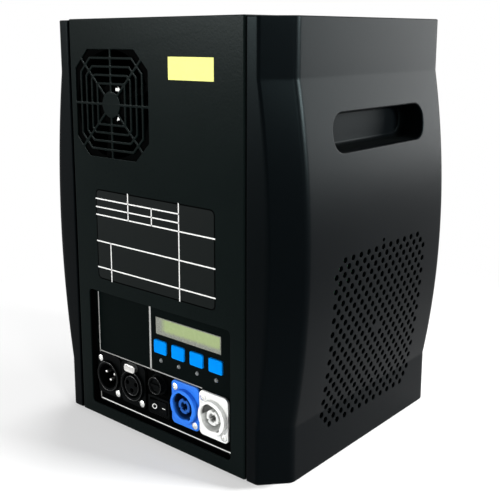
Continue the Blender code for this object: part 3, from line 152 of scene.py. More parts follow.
# Control window, its plate and the pieces set in it
WINDOW = (0.0, 0.06085)
WINDOW_SIZE = (0.142, 0.0913)
WINDOW_CORNER = 0.003
PLATE_FACE = -0.098
PLATE_BACK = -0.0965
DISPLAY = (0.0262, 0.0911)
DISPLAY_SIZE = (0.0627, 0.0127)
KEY_XS = (-0.00015, 0.01765, 0.03545, 0.05325)
KEY_Z = 0.0757
KEY_SIZE = (0.0124, 0.0099)
LIGHT_Z = 0.0655
LIGHT_RADIUS = 0.0016
CONNECTOR_XS = (-0.0551, -0.0282, -0.0013, 0.0256, 0.0525)
ROW_Z = 0.0393
FLANGE_SIZE = (0.0264, 0.0324)
FLANGE_CORNER = 0.0034
FLANGE_FACE = -0.1001
FLANGE_BACK = -0.0983
SCREW_OFFSET = (0.0095, 0.0120)
BOTH_CORNERS = ((-1, 1), (1, -1))
LOW_CORNER = ((1, -1),)
DATA_HOLE = 0.012
POWER_HOLE = 0.0124
FIELD = (0.0, 0.03535)
FIELD_SIZE = (0.1424, 0.0409)
TRAY_TAB = 0.007
FUSE_Z = 0.0477
SWITCH_Z = 0.0305
ROCKER_HALF = 0.00836
ROCKER_FACE = -0.0036
ROCKER_PIVOT = -0.0981
TILT = math.radians(8)


def of(group, name):
    """A setting of one of the groups that the panel in the sidebar shows."""
    return getattr(getattr(bpy.context.scene, group), name)


# Surfaces as arrays. A shell is its points and a list of arrays of corner numbers.


def quads(rows, columns, loop_rows=False, loop_columns=False):
    """The four corner numbers of every cell of a grid of points counted row by row."""
    i = np.arange(rows if loop_rows else rows - 1)
    j = np.arange(columns if loop_columns else columns - 1)
    i, j = (part.ravel() for part in np.meshgrid(i, j, indexing="ij"))
    k, l = (i + 1) % rows, (j + 1) % columns
    return np.stack([i * columns + j, i * columns + l, k * columns + l, k * columns + j], axis=1)


def placed(axis, a, b, h):
    """Points whose plane coordinates are a and b and whose place along the axis is h."""
    a, b, h = np.broadcast_arrays(a, b, h)
    order = {"X": (h, a, b), "Y": (a, h, b), "Z": (a, b, h)}[axis]
    return np.stack(order, axis=-1).reshape(-1, 3)


def together(*shells):
    """Several shells as one: points in a row, corner numbers moved on to match."""
    starts = np.cumsum([0] + [len(points) for points, _ in shells])
    groups = [group + start for (_, faces), start in zip(shells, starts) for group in faces]
    return np.concatenate([points for points, _ in shells]), groups


def softened(profile, radius=0.0003, steps=3, closed=False):
    """A profile whose corners C become curves (1-t)^2 P + 2t (1-t) C + t^2 Q from P to Q, both set back."""
    corners = np.asarray(profile, float)
    rows = slice(None) if closed else slice(1, -1)
    before, middle, after = (np.roll(corners, shift, axis=0)[rows] for shift in (1, 0, -1))
    legs = [leg - middle for leg in (before, after)]
    sizes = [np.linalg.norm(leg, axis=1, keepdims=True) for leg in legs]
    back = np.minimum(radius, 0.45 * np.minimum(*sizes))
    p, q = (middle + leg / size * back for leg, size in zip(legs, sizes))
    t = np.linspace(0, 1, steps + 1)[None, :, None]
    curve = (1 - t) ** 2 * p[:, None] + 2 * t * (1 - t) * middle[:, None] + t**2 * q[:, None]
    curve = curve.reshape(-1, 2)
    return curve if closed else np.vstack([corners[:1], curve, corners[-1:]])


def turned(profile, centre, axis="Y", sides=48, tube=False, wave=None):
    """A profile of (r, h) turned about an axis: (cx + r cos t, cy + r sin t, h).

    Where a wave is given, r + wave(t, r, h) takes the place of r.
    """
    profile = np.asarray(profile, float)
    t = np.linspace(0, TURN, sides, endpoint=False)[None]
    r, h = profile[:, :1], profile[:, 1:]
    if wave is not None:
        r = r + wave(t, r, h)
    points = placed(axis, centre[0] + r * np.cos(t), centre[1] + r * np.sin(t), h + 0 * t)
    return points, [quads(len(profile), sides, tube, True)]


def rounded(centre, size, corner, steps=6):
    """A rectangle with quarter circles at its corners, as an array of its points."""
    corner = max(corner, 1e-6)
    turns = (np.arange(4)[:, None] + np.linspace(0, 1, steps + 1)) * TURN / 4
    signs = np.array([(1, 1), (-1, 1), (-1, -1), (1, -1)])[:, None]
    half = np.array(size) / 2 - corner
    arcs = corner * np.stack([np.cos(turns), np.sin(turns)], axis=-1)
    return (np.array(centre) + signs * half + arcs).reshape(-1, 2)


def grown(centre, size, corner, steps=6):
    """A function that gives the rounded rectangle with all its sides moved out by an amount."""
    return lambda grow: rounded(
        centre, np.maximum(np.array(size) + 2 * grow, 4e-6), max(corner + grow, 1e-6), steps
    )


def circle(centre, radius, sides=48):
    t = np.linspace(0, TURN, sides, endpoint=False)
    return np.column_stack([centre[0] + radius * np.cos(t), centre[1] + radius * np.sin(t)])


def stacked(outline, rings, axis="Y", tube=False):
    """Outlines of one family laid over each other: ring i is outline(grow_i) at h_i. A tube closes up."""
    loops = [outline(grow) for grow, _ in rings]
    points = np.concatenate([placed(axis, loop[:, 0], loop[:, 1], h) for loop, (_, h) in zip(loops, rings)])
    count = len(loops[0])
    faces = [quads(len(rings), count, tube, True)]
    if not tube:
        ends = np.arange(count)
        faces += [ends[None], ends[None] + (len(rings) - 1) * count]
    return points, faces


def flat_plate(loops, low, high, ease=0.0003, steps=2):
    """An outline with holes, filled, drawn out from low to high and eased at its edges, in (a, b, h)."""
    curve = bpy.data.curves.new("outline", "CURVE")
    curve.dimensions = "2D"
    curve.fill_mode = "BOTH"
    curve.extrude = (high - low) / 2 - ease
    curve.bevel_depth = ease
    curve.bevel_resolution = steps - 1
    curve.offset = -ease
    for loop in loops:
        spline = curve.splines.new("POLY")
        spline.points.add(len(loop) - 1)
        rows = np.column_stack([loop, np.zeros(len(loop)), np.ones(len(loop))])
        spline.points.foreach_set("co", rows.ravel())
        spline.use_cyclic_u = True
    holder = bpy.data.objects.new("outline", curve)
    mesh = bpy.data.meshes.new_from_object(holder)
    points, faces = mesh_arrays(mesh)
    points[:, 2] += (low + high) / 2
    bpy.data.objects.remove(holder)
    bpy.data.curves.remove(curve)
    bpy.data.meshes.remove(mesh)
    return points, faces


def mesh_arrays(mesh):
    points = np.zeros(len(mesh.vertices) * 3)
    mesh.vertices.foreach_get("co", points)
    mesh.calc_loop_triangles()
    corners = np.zeros(len(mesh.loop_triangles) * 3, int)
    mesh.loop_triangles.foreach_get("vertices", corners)
    return points.reshape(-1, 3), [corners.reshape(-1, 3)]


def upright(*plate):
    """A flat plate stood up so that its thickness runs along Y."""
    points, faces = flat_plate(*plate)
    return points[:, [0, 2, 1]], faces


def printed(loops, face, thick=FILM, ease=0.00001):
    """Ink or film of a thickness on a face that looks toward -Y."""
    return upright(loops, face - thick, face, ease, 1)


def piece(name, shell, look, slot, body="machine", stands_for=(), merge=1e-6, hollow=None):
    """One finished object of the shell: doubles merged and faces turned outward.

    An optional function gives each point's share of painted shade, which darkens holes and wells, and the
    finishes read it.
    """
    points, groups = shell
    mesh = bpy.data.meshes.new(name)
    mesh.from_pydata(points.tolist(), [], [face for group in groups for face in group.tolist()])
    if hollow is not None:
        shares = mesh.attributes.new("hollow", "FLOAT", "POINT").data
        shares.foreach_set("value", hollow(points).astype(np.float32))
    clean = bmesh.new()
    clean.from_mesh(mesh)
    bmesh.ops.remove_doubles(clean, verts=clean.verts, dist=merge)
    bmesh.ops.dissolve_degenerate(clean, edges=clean.edges, dist=merge / 10)
    bmesh.ops.recalc_face_normals(clean, faces=clean.faces)
    clean.to_mesh(mesh)
    clean.free()
    mesh.materials.append(look)
    mesh.shade_smooth()
    mesh.set_sharp_from_angle(angle=SHARP)
    obj = bpy.data.objects.new(name, mesh)
    bpy.context.scene.collection.objects.link(obj)
    obj.modifiers.new("even_shading", "WEIGHTED_NORMAL").keep_sharp = True
    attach(obj, body)
    if stands_for:
        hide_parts(*stands_for)


# Finishes


class Value:
    """A socket of a node tree. Arithmetic on it adds Math nodes."""

    def __init__(self, tree, socket):
        self.tree, self.socket = tree, socket

    def math(self, operation, *others):
        node = self.tree.nodes.new("ShaderNodeMath")
        node.operation = operation
        for place, value in enumerate(others):
            fill(self.tree, node.inputs[place], value)
        return Value(self.tree, node.outputs[0])

    def __add__(self, other):
        return self.math("ADD", self, other)

    def __sub__(self, other):
        return self.math("SUBTRACT", self, other)

    def __rsub__(self, other):
        return self.math("SUBTRACT", other, self)

    def __mul__(self, other):
        return self.math("MULTIPLY", self, other)

    def __abs__(self):
        return self.math("ABSOLUTE", self)

    __radd__ = __add__
    __rmul__ = __mul__


def fill(tree, socket, value):
    """Links a socket to another node's socket, or writes a plain value on it."""
    if isinstance(value, Value):
        tree.links.new(value.socket, socket)
    elif socket.type == "RGBA" and len(value) == 3:
        socket.default_value = (*value, 1.0)
    else:
        socket.default_value = value


class Finish:
    """A material built of nodes round one Principled shader."""

    def __init__(self, name, **constants):
        self.material = bpy.data.materials.new(name)
        self.material.use_nodes = True
        self.tree = self.material.node_tree
        self.shader = self.tree.nodes["Principled BSDF"]
        for socket, value in constants.items():
            fill(self.tree, self.shader.inputs[socket.replace("_", " ")], value)
        self.place = self.node("ShaderNodeTexCoord", output="Object")

    def node(self, kind, settings=None, output=0, **inputs):
        """A node of a kind: its settings first, then the values or links of its sockets."""
        made = self.tree.nodes.new(kind)
        for key, value in (settings or {}).items():
            if key == "stops":
                ramp = made.color_ramp.elements
                for stop, (position, colour) in zip([ramp[0], ramp[-1]], (value[0], value[-1])):
                    stop.position, stop.color = position, (*colour, 1.0)
                for position, colour in value[1:-1]:
                    ramp.new(position).color = (*colour, 1.0)
            else:
                setattr(made, key, value)
        for key, value in inputs.items():
            socket = made.inputs[int(key[1:])] if key[1:].isdigit() else made.inputs[key.replace("_", " ")]
            fill(self.tree, socket, value)
        return Value(self.tree, made.outputs[output])

    def stretched(self, scale):
        """Object coordinates stretched along the axes."""
        return self.node("ShaderNodeMapping", Vector=self.place, Scale=scale)

    def noise(self, scale, detail=2.0, roughness=0.5, vector=None):
        return self.node(
            "ShaderNodeTexNoise", Vector=vector or self.place, Scale=scale, Detail=detail, Roughness=roughness
        )

    def cells(self, scale, distance="EUCLIDEAN", output="Distance", **inputs):
        settings = {"distance": distance}
        return self.node("ShaderNodeTexVoronoi", settings, output, Vector=self.place, Scale=scale, **inputs)

    def axes(self):
        """How far a point lies across, back and up: x, y and z."""
        split = self.tree.nodes.new("ShaderNodeSeparateXYZ")
        fill(self.tree, split.inputs[0], self.place)
        return [Value(self.tree, socket) for socket in split.outputs]

    def mix(self, share, low, high):
        """Colour low where share is 0 and high where it is 1."""
        settings = {"data_type": "RGBA", "clamp_factor": True}
        return self.node("ShaderNodeMix", settings, 2, _0=share, _6=low, _7=high)

    def spread(self, value, low, high, out_low=0.0, out_high=1.0):
        """A value between low and high carried to one between out_low and out_high, held at both ends."""
        spans = {"_1": low, "_2": high, "_3": out_low, "_4": out_high}
        return self.node("ShaderNodeMapRange", {"clamp": True}, _0=value, **spans)

    def hollow(self):
        """The share of painted shade that the piece carries at a point in its holes and wells, 0 where it
        carries none.
        """
        return self.node("ShaderNodeAttribute", {"attribute_name": "hollow"}, "Fac")

    def colour(self, value):
        fill(self.tree, self.shader.inputs["Base Color"], value)

    def rough(self, value):
        fill(self.tree, self.shader.inputs["Roughness"], value)

    def relief(self, height, depth):
        """Bump from a height of 0 to 1 that stands for a depth in metres."""
        bump = self.node("ShaderNodeBump", Height=height, Strength=1.0, Distance=depth)
        fill(self.tree, self.shader.inputs["Normal"], bump)


def shade(colour, factor):
    return tuple(min(1.0, part * factor) for part in colour)


def once(maker):
    """Keeps the material that a maker gives, so that pieces of one finish share it."""
    made = {}

    def kept(*key):
        if key not in made:
            made[key] = maker(*key)
        return made[key]

    return kept


@once
def powder_coat(name="powder_coat", level=0.027, factor=1.0):
    """Fine-textured black powder coat: orange-peel waves with a speckle over them."""
    base = shade(of("spark_colours", "panel_black"), factor)
    look = Finish(name, Specular_IOR_Level=level, Specular_Tint=(0.86, 1.0, 0.99))
    peel = look.noise(700.0, 2.0)
    speckle = look.noise(2600.0, 1.0)
    cloud = look.noise(14.0, 3.0)
    tone = look.spread(speckle * 0.8 + cloud * 0.2, 0.3, 0.7)
    look.colour(look.mix(tone, shade(base, 0.6), shade(base, 1.5)))
    look.rough(look.spread(peel * 0.5 + cloud * 0.5, 0.3, 0.7, 0.26, 0.33))
    look.relief(peel * 0.7 + speckle * 0.3, 0.06 * MM)
    return look.material


# The tray's powder coat is the panel's, darkened to 0.7 as painted shade for its place in the recess, and
# less glossy.
def tray_coat():
    return powder_coat("tray_coat", 0.012, 0.7)


@once
def moulded_cover():
    """Black moulded plastic with a fine spark-eroded grain and a slight sheen that varies over the shell."""
    base = tuple(of("spark_colours", "cover_black"))
    look = Finish("moulded_cover", Specular_IOR_Level=0.034, Specular_Tint=(0.68, 0.96, 1.0))
    grain = look.cells(1500.0)
    fine = look.noise(2200.0, 1.0)
    cloud = look.noise(9.0, 3.0)
    skin = look.mix(look.spread(fine * 0.8 + cloud * 0.2, 0.3, 0.7), shade(base, 0.65), shade(base, 1.4))
    hollow = look.hollow()
    # Painted shade: the skin's colour falls almost to black inside the vents and the handle pocket.
    look.colour(look.mix(hollow, skin, shade(base, 0.02)))
    look.rough(look.spread(cloud * 0.6 + grain * 0.4, 0.2, 0.8, 0.28, 0.35) + hollow * 0.5)
    look.relief(grain * 0.6 + fine * 0.4, 0.04 * MM)
    return look.material


@once
def plastic(name, colour, gloss, level, inner=0.06):
    """Injection-moulded plastic: faint flow marks and a fine satin texture, with painted shade inside its
    holes and wells.
    """
    look = Finish(name, Specular_IOR_Level=level)
    flow = look.noise(120.0, 3.0)
    satin = look.noise(3000.0, 1.0)
    hollow = look.hollow()
    skin = look.mix(flow, shade(colour, 0.88), shade(colour, 1.10))
    # Painted shade: where a point's share is 1, the colour falls to the share of itself that the last
    # argument gives.
    look.colour(look.mix(hollow, skin, shade(colour, inner)))
    look.rough(look.spread(flow * 0.5 + satin * 0.5, 0.3, 0.7, gloss - 0.06, gloss + 0.08) + hollow * 0.4)
    look.relief(satin, 0.012 * MM)
    return look.material


def black_plastic():
    return plastic("black_plastic", (0.0016, 0.0020, 0.0021), 0.30, 0.018)


# Lighter and glossier than the black plastic: a painted highlight on the rim beads, beside the real one that
# the lamps give them.
def bead_black():
    return plastic("bead_black", (0.008, 0.009, 0.009), 0.30, 0.25)


def matt_black():
    return plastic("matt_black", (0.0012, 0.0013, 0.0013), 0.60, 0.0)


@once
def metal(name, colour, gloss, streak):
    """Bare metal: brushed along one axis by stretched noise, with a cloudy patina in its roughness."""
    look = Finish(name, Metallic=1.0)
    brushed = look.noise(1.0, 3.0, 0.6, look.stretched(streak))
    cloud = look.noise(60.0, 3.0)
    look.colour(look.mix(cloud * 0.5 + brushed * 0.5, shade(colour, 0.82), shade(colour, 1.08)))
    look.rough(look.spread(brushed * 0.6 + cloud * 0.4, 0.3, 0.7, gloss - 0.08, gloss + 0.12))
    look.relief(brushed, 0.008 * MM)
    return look.material


def zinc():
    return metal("zinc_steel", (0.60, 0.61, 0.62), 0.34, (300.0, 300.0, 2500.0))


def screw_steel():
    return metal("screw_steel", (0.86, 0.86, 0.84), 0.30, (1500.0, 1500.0, 1500.0))


def brushed_stainless():
    return metal("stainless", (0.66, 0.65, 0.63), 0.30, (2600.0, 2600.0, 200.0))


@once
def galvanised():
    """Zinc-coated sheet with its crystal spangle."""
    look = Finish("galvanised", Metallic=1.0)
    spangle = look.cells(130.0, output="Color")
    tone = look.node("ShaderNodeSeparateColor", Color=spangle)
    look.colour(look.mix(tone, (0.46, 0.47, 0.48), (0.66, 0.67, 0.68)))
    look.rough(look.spread(tone, 0.0, 1.0, 0.30, 0.52))
    look.relief(look.noise(900.0), 0.01 * MM)
    return look.material


@once
def heated_steel():
    """Stainless steel with straw and blue heat tint that rises to the hot end."""
    look = Finish("heated_steel", Metallic=1.0)
    height = look.axes()[2]
    band = look.spread(height + look.noise(40.0, 3.0) * 0.02, 0.16, 0.26)
    stops = [
        (0.0, (0.60, 0.59, 0.57)),
        (0.45, (0.62, 0.50, 0.32)),
        (0.7, (0.42, 0.26, 0.24)),
        (0.85, (0.20, 0.24, 0.42)),
        (1.0, (0.42, 0.44, 0.48)),
    ]
    look.colour(look.node("ShaderNodeValToRGB", {"stops": stops}, Fac=band))
    look.rough(look.spread(look.noise(200.0, 3.0), 0.3, 0.7, 0.28, 0.46))
    return look.material


@once
def circuit_board():
    """Green solder mask over copper tracks, which show as lighter lines on a square grid."""
    look = Finish("circuit_board", Specular_IOR_Level=0.4)
    squares = look.cells(260.0, "CHEBYCHEV", Randomness=0.35)
    tracks = look.spread(abs(squares - 0.42), 0.0, 0.07, 1.0, 0.0)
    look.colour(look.mix(tracks, (0.006, 0.075, 0.028), (0.03, 0.20, 0.07)))
    look.rough(look.spread(tracks, 0.0, 1.0, 0.34, 0.46))
    look.relief(tracks, 0.03 * MM)
    return look.material


@once
def mica_band():
    """Mica heater band: flaky layers in tan and brown."""
    look = Finish("mica_band", Specular_IOR_Level=0.35)
    flakes = look.noise(1.0, 4.0, 0.6, look.stretched((120.0, 120.0, 900.0)))
    look.colour(look.mix(flakes, (0.20, 0.14, 0.08), (0.52, 0.43, 0.30)))
    look.rough(look.spread(flakes, 0.3, 0.7, 0.45, 0.75))
    look.relief(flakes, 0.06 * MM)
    return look.material


@once
def foot_rubber():
    look = Finish("foot_rubber", Specular_IOR_Level=0.2)
    dust = look.noise(500.0, 4.0, 0.7)
    look.colour(look.mix(dust, (0.008, 0.008, 0.009), (0.030, 0.030, 0.031)))
    look.rough(look.spread(dust, 0.3, 0.7, 0.72, 0.92))
    look.relief(look.noise(1800.0), 0.03 * MM)
    return look.material


@once
def lit_pane():
    """The display: a pale olive field with a dot raster, which fades to a mottled grey border."""
    colour = tuple(of("spark_colours", "display_green"))
    look = Finish("display_pane", Specular_IOR_Level=0.12)
    x, _, z = look.axes()
    left, low = (DISPLAY[k] - DISPLAY_SIZE[k] / 2 for k in (0, 1))
    right, high = (DISPLAY[k] + DISPLAY_SIZE[k] / 2 for k in (0, 1))
    ragged = look.noise(420.0, 3.0, 0.7) * 0.003
    inside = look.spread(x - left - ragged, 0.0032, 0.0085) * look.spread(z - low - ragged, 0.0008, 0.0030)
    inside = inside * look.spread(right - x, 0.0006, 0.0011) * look.spread(high - z, 0.0004, 0.0008)
    raster = look.node(
        "ShaderNodeTexBrick",
        {"offset": 0.0},
        "Fac",
        Vector=look.node("ShaderNodeMapping", Vector=look.place, Rotation=(TURN / 4, 0.0, 0.0)),
        Scale=1.0,
        Mortar_Size=0.00006,
        Brick_Width=0.0006,
        Row_Height=0.0006,
    )
    mottle = look.noise(260.0, 3.0)
    border = look.mix(look.noise(900.0, 3.0, 0.7), (0.03, 0.035, 0.03), (0.36, 0.37, 0.32))
    field = look.mix(raster * 0.35 + mottle * 0.15, colour, shade(colour, 0.72))
    look.colour(look.mix(inside, border, field))
    look.rough(look.spread(mottle, 0.3, 0.7, 0.20, 0.32))
    return look.material


@once
def print_ink(name, colour):
    """Screen-printed ink, slightly uneven in cover."""
    look = Finish(name, Specular_IOR_Level=0.2)
    cover = look.noise(2200.0, 2.0)
    look.colour(look.mix(look.spread(cover, 0.35, 0.6), shade(colour, 0.82), colour))
    look.rough(look.spread(cover, 0.3, 0.7, 0.42, 0.58))
    return look.material


@once
def film(name, colour, gloss):
    """A printed film label with a faint wave from being pressed on."""
    look = Finish(name, Specular_IOR_Level=0.05)
    wave = look.noise(45.0, 2.0)
    grain = look.noise(4000.0, 1.0)
    look.colour(look.mix(wave * 0.5 + grain * 0.5, shade(colour, 0.92), shade(colour, 1.06)))
    look.rough(look.spread(wave, 0.3, 0.7, gloss - 0.05, gloss + 0.08))
    look.relief(wave * 0.8 + grain * 0.2, 0.03 * MM)
    return look.material


@once
def lens_grey():
    look = Finish("indicator_lens", Specular_IOR_Level=0.3)
    haze = look.noise(900.0, 2.0)
    look.colour(look.mix(haze, (0.120, 0.128, 0.126), (0.180, 0.192, 0.190)))
    look.rough(look.spread(haze, 0.3, 0.7, 0.25, 0.40))
    return look.material


@once
def fuse_tube_glass():
    look = Finish("fuse_tube_glass", Transmission_Weight=0.9, IOR=1.5)
    depth = look.axes()[1]
    caps = look.spread(abs(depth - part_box("fuse_link")[0].y - 0.010), 0.006, 0.0065)
    look.colour(look.mix(caps, (0.86, 0.90, 0.88), (0.62, 0.62, 0.60)))
    look.rough(look.spread(caps, 0.0, 1.0, 0.06, 0.35))
    return look.material


# Side covers


def bulge_at(height):
    """How far a cover's side stands out at heights above the body's bottom: B (1 - ((h - w) / (e - w))^2).

    There w is the widest height and e the crease that ends the bulge above or below it.
    """
    end = np.where(height >= WIDEST, SHOULDER, TOE)
    return BULGE * np.maximum(1 - ((height - WIDEST) / (end - WIDEST)) ** 2, 0.0)


def arc_about(corner, start, end, radius, steps):
    """Points and outward normals of the arc that rounds a corner between the directions of its two legs."""
    corner, start, end = (np.array(value, float) for value in (corner, start, end))
    half = math.acos(np.clip(start @ end, -1, 1)) / 2
    out = np.array([start[1], -start[0]])
    centre = corner - start * radius * math.tan(half) - out * radius
    swing = np.linspace(0, 2 * half, steps + 1)[:, None]
    normals = out * np.cos(swing) + start * np.sin(swing)
    return centre + radius * normals, normals


def cover_stations():
    """The plan of half a cover from its seam to its side: places, outward normals and shares of the bulge."""
    bend, side_bend = of("spark_sizes", "strip_bend"), of("spark_sizes", "side_bend")
    ease = of("spark_sizes", "cover_ease")
    along = np.array((BAND_X - STRIP_END, CHAMFER_END - REAR))
    along /= np.linalg.norm(along)
    seam_points, seam_normals = arc_about((COVER_EDGE, REAR), (0, -1), (1, 0), ease, 4)
    inner = np.array([(COVER_EDGE, REAR + 2 * COVER_WALL), (COVER_EDGE, REAR + COVER_WALL)])
    first, first_normals = arc_about((STRIP_END, REAR), (1, 0), along, bend, 8)
    second, second_normals = arc_about((BAND_X, CHAMFER_END), along, (0, 1), side_bend, 8)
    flats = ((seam_points[-1], first[0]), (first[-1], second[0]))
    gaps = [np.linspace(start, end, 5)[1:-1] for start, end in flats]
    places = np.vstack([inner, seam_points, gaps[0], first, gaps[1], second])
    normals = np.vstack(
        [
            np.tile((-1.0, 0.0), (len(inner), 1)),
            seam_normals,
            np.tile(first_normals[0], (len(gaps[0]), 1)),
            first_normals,
            np.tile(first_normals[-1], (len(gaps[1]), 1)),
            second_normals,
        ]
    )
    share = np.interp(places[:, 0], (seam_points[-1, 0], STRIP_END, second[0, 0]), (0.0, STRIP_SHARE, 1.0))
    return places, normals, share


def cover_levels(top_ease):
    """Heights of the skin's rows, close where it curves or is pierced, and how far each is drawn in."""
    field = VENT_FOOT - VENT_ROW / 2 + VENT_ROW / 4 * np.arange(4 * (VENT_ROWS + 1) + 1)
    slot = SLOT_Z + np.linspace(-SLOT_FIELD, SLOT_FIELD, 19)
    crease = SHOULDER + np.array([-0.0016, -0.0006, 0.0004, 0.0014])
    above = np.linspace(field[-1], slot[0], 20)[1:-1]
    between = np.linspace(slot[-1], crease[0], 8)[1:-1]
    band = np.linspace(crease[-1], COVER_HEIGHT - top_ease, 10)[1:-1]
    foot = np.linspace(top_ease, field[0], 10)[1:-1]
    flat = np.concatenate([foot, field, above, slot, between, crease, band])
    turn = np.linspace(0, TURN / 4, 5)
    rise, draw = top_ease * np.sin(turn), top_ease * (1 - np.cos(turn))
    heights = np.concatenate([(top_ease - rise)[::-1], flat, COVER_HEIGHT - top_ease + rise])
    inset = np.concatenate([draw[::-1], 0 * flat, draw])
    return heights, inset, len(foot) + len(turn)


def slot_rings():
    """Each ring of the handle pocket: distance from the slot's edge, depth and share of the way down.

    The lip rolls over a quarter circle, and the cove where the wall meets the floor is another.
    """
    lip = of("spark_sizes", "slot_lip")
    wall, rise = 0.0003, 0.24
    swing = np.linspace(0, TURN / 4, COVE_STEPS + 1)
    edge = [(lip * (1 - math.sin(turn)), lip * (1 - math.cos(turn)), 0.0) for turn in swing]
    turns = [(POCKET_COVE * (math.cos(turn) - 1) - wall, 1 - rise * (1 - math.sin(turn))) for turn in swing]
    cove = [(inward, lip, share) for inward, share in turns]
    return np.array([(lip + 0.0006, 0.0, 0.0), *edge, (-0.0002, lip, 0.4), *cove, (-0.0075, lip, 1.0)])


def side_cover(vented):
    """The right cover as a closed shell: x = x0(s) + share(s) bulge(h), y = y0(s), z = h, and a wall within.

    Cells of the grid give way to the vents, each a ring of quads from the cell's edge to a dished bore, and
    to the handle pocket, whose rings lie at clamp(p) + d (p - clamp(p)) / |p - clamp(p)|, with p clamped to
    the slot's inner rectangle.
    """
    places, normals, share = cover_stations()
    heights, inset, field_row = cover_levels(of("spark_sizes", "cover_ease"))
    side_y = SIDE_CENTRE + VENT_PITCH / 4 * np.arange(-2 * VENT_COLUMNS, 2 * VENT_COLUMNS + 1)
    ends = [np.linspace(places[-1, 1], side_y[0], 8)[1:-1], np.linspace(side_y[-1], -places[-1, 1], 8)[1:-1]]
    side = np.concatenate([ends[0], side_y, ends[1]])
    flip = np.array((1, -1))
    plan = np.vstack([places, np.column_stack([np.full(len(side), BAND_X), side]), places[::-1] * flip])
    out = np.vstack([normals, np.tile((1.0, 0.0), (len(side), 1)), normals[::-1] * flip])
    shares = np.concatenate([share, np.ones(len(side)), share[::-1]])
    within = plan - COVER_WALL * out
    within[:, 0] = np.maximum(within[:, 0], COVER_EDGE + COVER_WALL)
    within[:, 1] = np.clip(within[:, 1], REAR + COVER_WALL, -REAR - COVER_WALL)
    drawn = inset[:, None] * (out[:, 0] > -0.999)
    skins = []
    for flat, levels, pull in (
        (plan, heights, drawn),
        (within, np.clip(heights, COVER_WALL, COVER_HEIGHT - COVER_WALL), 0 * drawn),
    ):
        x = flat[:, 0] + shares * bulge_at(levels)[:, None] - pull * out[:, 0]
        skins.append(np.stack([x, flat[:, 1] - pull * out[:, 1], BOTTOM + levels[:, None] + 0 * x], axis=-1))
    rows, columns = skins[0].shape[:2]
    points = np.concatenate(skins).reshape(-1, 3)
    under = rows * columns
    keep = np.ones((rows - 1, columns - 1), bool)
    column_0 = len(places) + len(ends[0])
    parts, groups = [points], []
    if vented:
        add_vents(parts, groups, keep, field_row, column_0, columns, under)
    add_pocket(parts, groups, keep, heights, column_0, columns, under)
    cells = quads(rows, columns)[keep.ravel()]
    edges = np.arange(rows)[:, None] * columns + np.array((0, columns - 1))
    rim = np.concatenate([edges[:, 0], edges[::-1, 1]])
    ahead = np.roll(rim, -1)
    groups += [cells, cells + under, np.column_stack([rim, ahead, ahead + under, rim + under])]
    for row in (0, rows - 1):
        loop = row * columns + np.arange(columns)[None]
        groups += [loop, loop + under]
    return np.concatenate(parts), groups


def skin_points(y, z, depth):
    """Points on the side of the cover, set a depth in from its skin."""
    return np.stack([BAND_X + bulge_at(z - BOTTOM) - depth, y, z], axis=-1)


def vent_cells():
    """Row, quarter-pitch column and size of each vent: staggered, clipped corners, none at the middle.

    The first is a pinhole above the rows.
    """
    cells = [np.array([(VENT_ROWS, 2 * VENT_COLUMNS, PINHOLE)])]
    for row in range(VENT_ROWS):
        first = 2 + 2 * (row % 2)
        columns = first + 4 * np.arange(VENT_COLUMNS - row % 2)
        if row in (0, VENT_ROWS - 1):
            columns = columns[1:-1]
        if row == VENT_ROWS // 2:
            columns = columns[columns != 2 * VENT_COLUMNS]
        cells.append(np.column_stack([np.full(len(columns), row), columns, np.ones(len(columns))]))
    return np.vstack(cells)


def joined(numbers):
    """Quads between neighbouring rows of corner numbers, each row a ring."""
    numbers = np.stack(numbers)
    ahead = np.roll(numbers, -1, axis=-1)
    return np.stack([numbers[:-1], ahead[:-1], ahead[1:], numbers[1:]], axis=-1).reshape(-1, 4)


def add_vents(parts, groups, keep, field_row, column_0, columns, under):
    """Every vent's rings, and the quads that join them to the sixteen points round its cell on both skins."""
    radius = of("spark_sizes", "vent_radius")
    dish = of("spark_sizes", "vent_dish")
    cells = vent_cells()
    size = cells[:, 2:]
    cells = cells[:, :2].astype(int)
    middle_row = field_row + 4 * cells[:, 0] + 2
    middle_column = column_0 + cells[:, 1]
    steps = np.arange(-2, 2)
    for i in steps:
        for j in steps:
            keep[middle_row + i, middle_column + j] = False
    ahead = np.array([0, 1, 2, 2, 2, 2, 2, 1, 0, -1, -2, -2, -2, -2, -2, -1])
    aside = np.roll(ahead, -4)
    border = (middle_row[:, None] + ahead) * columns + middle_column[:, None] + aside
    t = TURN * np.arange(16) / 16
    y = SIDE_CENTRE + VENT_PITCH / 4 * (cells[:, 1:] - 2 * VENT_COLUMNS)
    z = BOTTOM + VENT_FOOT + VENT_ROW * cells[:, :1]
    section = ((radius + dish, 0.0), (radius + dish / 4, dish / 3), (radius, dish), (radius, COVER_WALL))
    rings = [skin_points(y + size * r * np.cos(t), z + size * r * np.sin(t), depth) for r, depth in section]
    start = sum(map(len, parts))
    numbers = start + np.arange(len(rings) * border.size).reshape(len(rings), *border.shape)
    groups.append(joined([border, *numbers, border + under]))
    parts += [ring.reshape(-1, 3) for ring in rings]


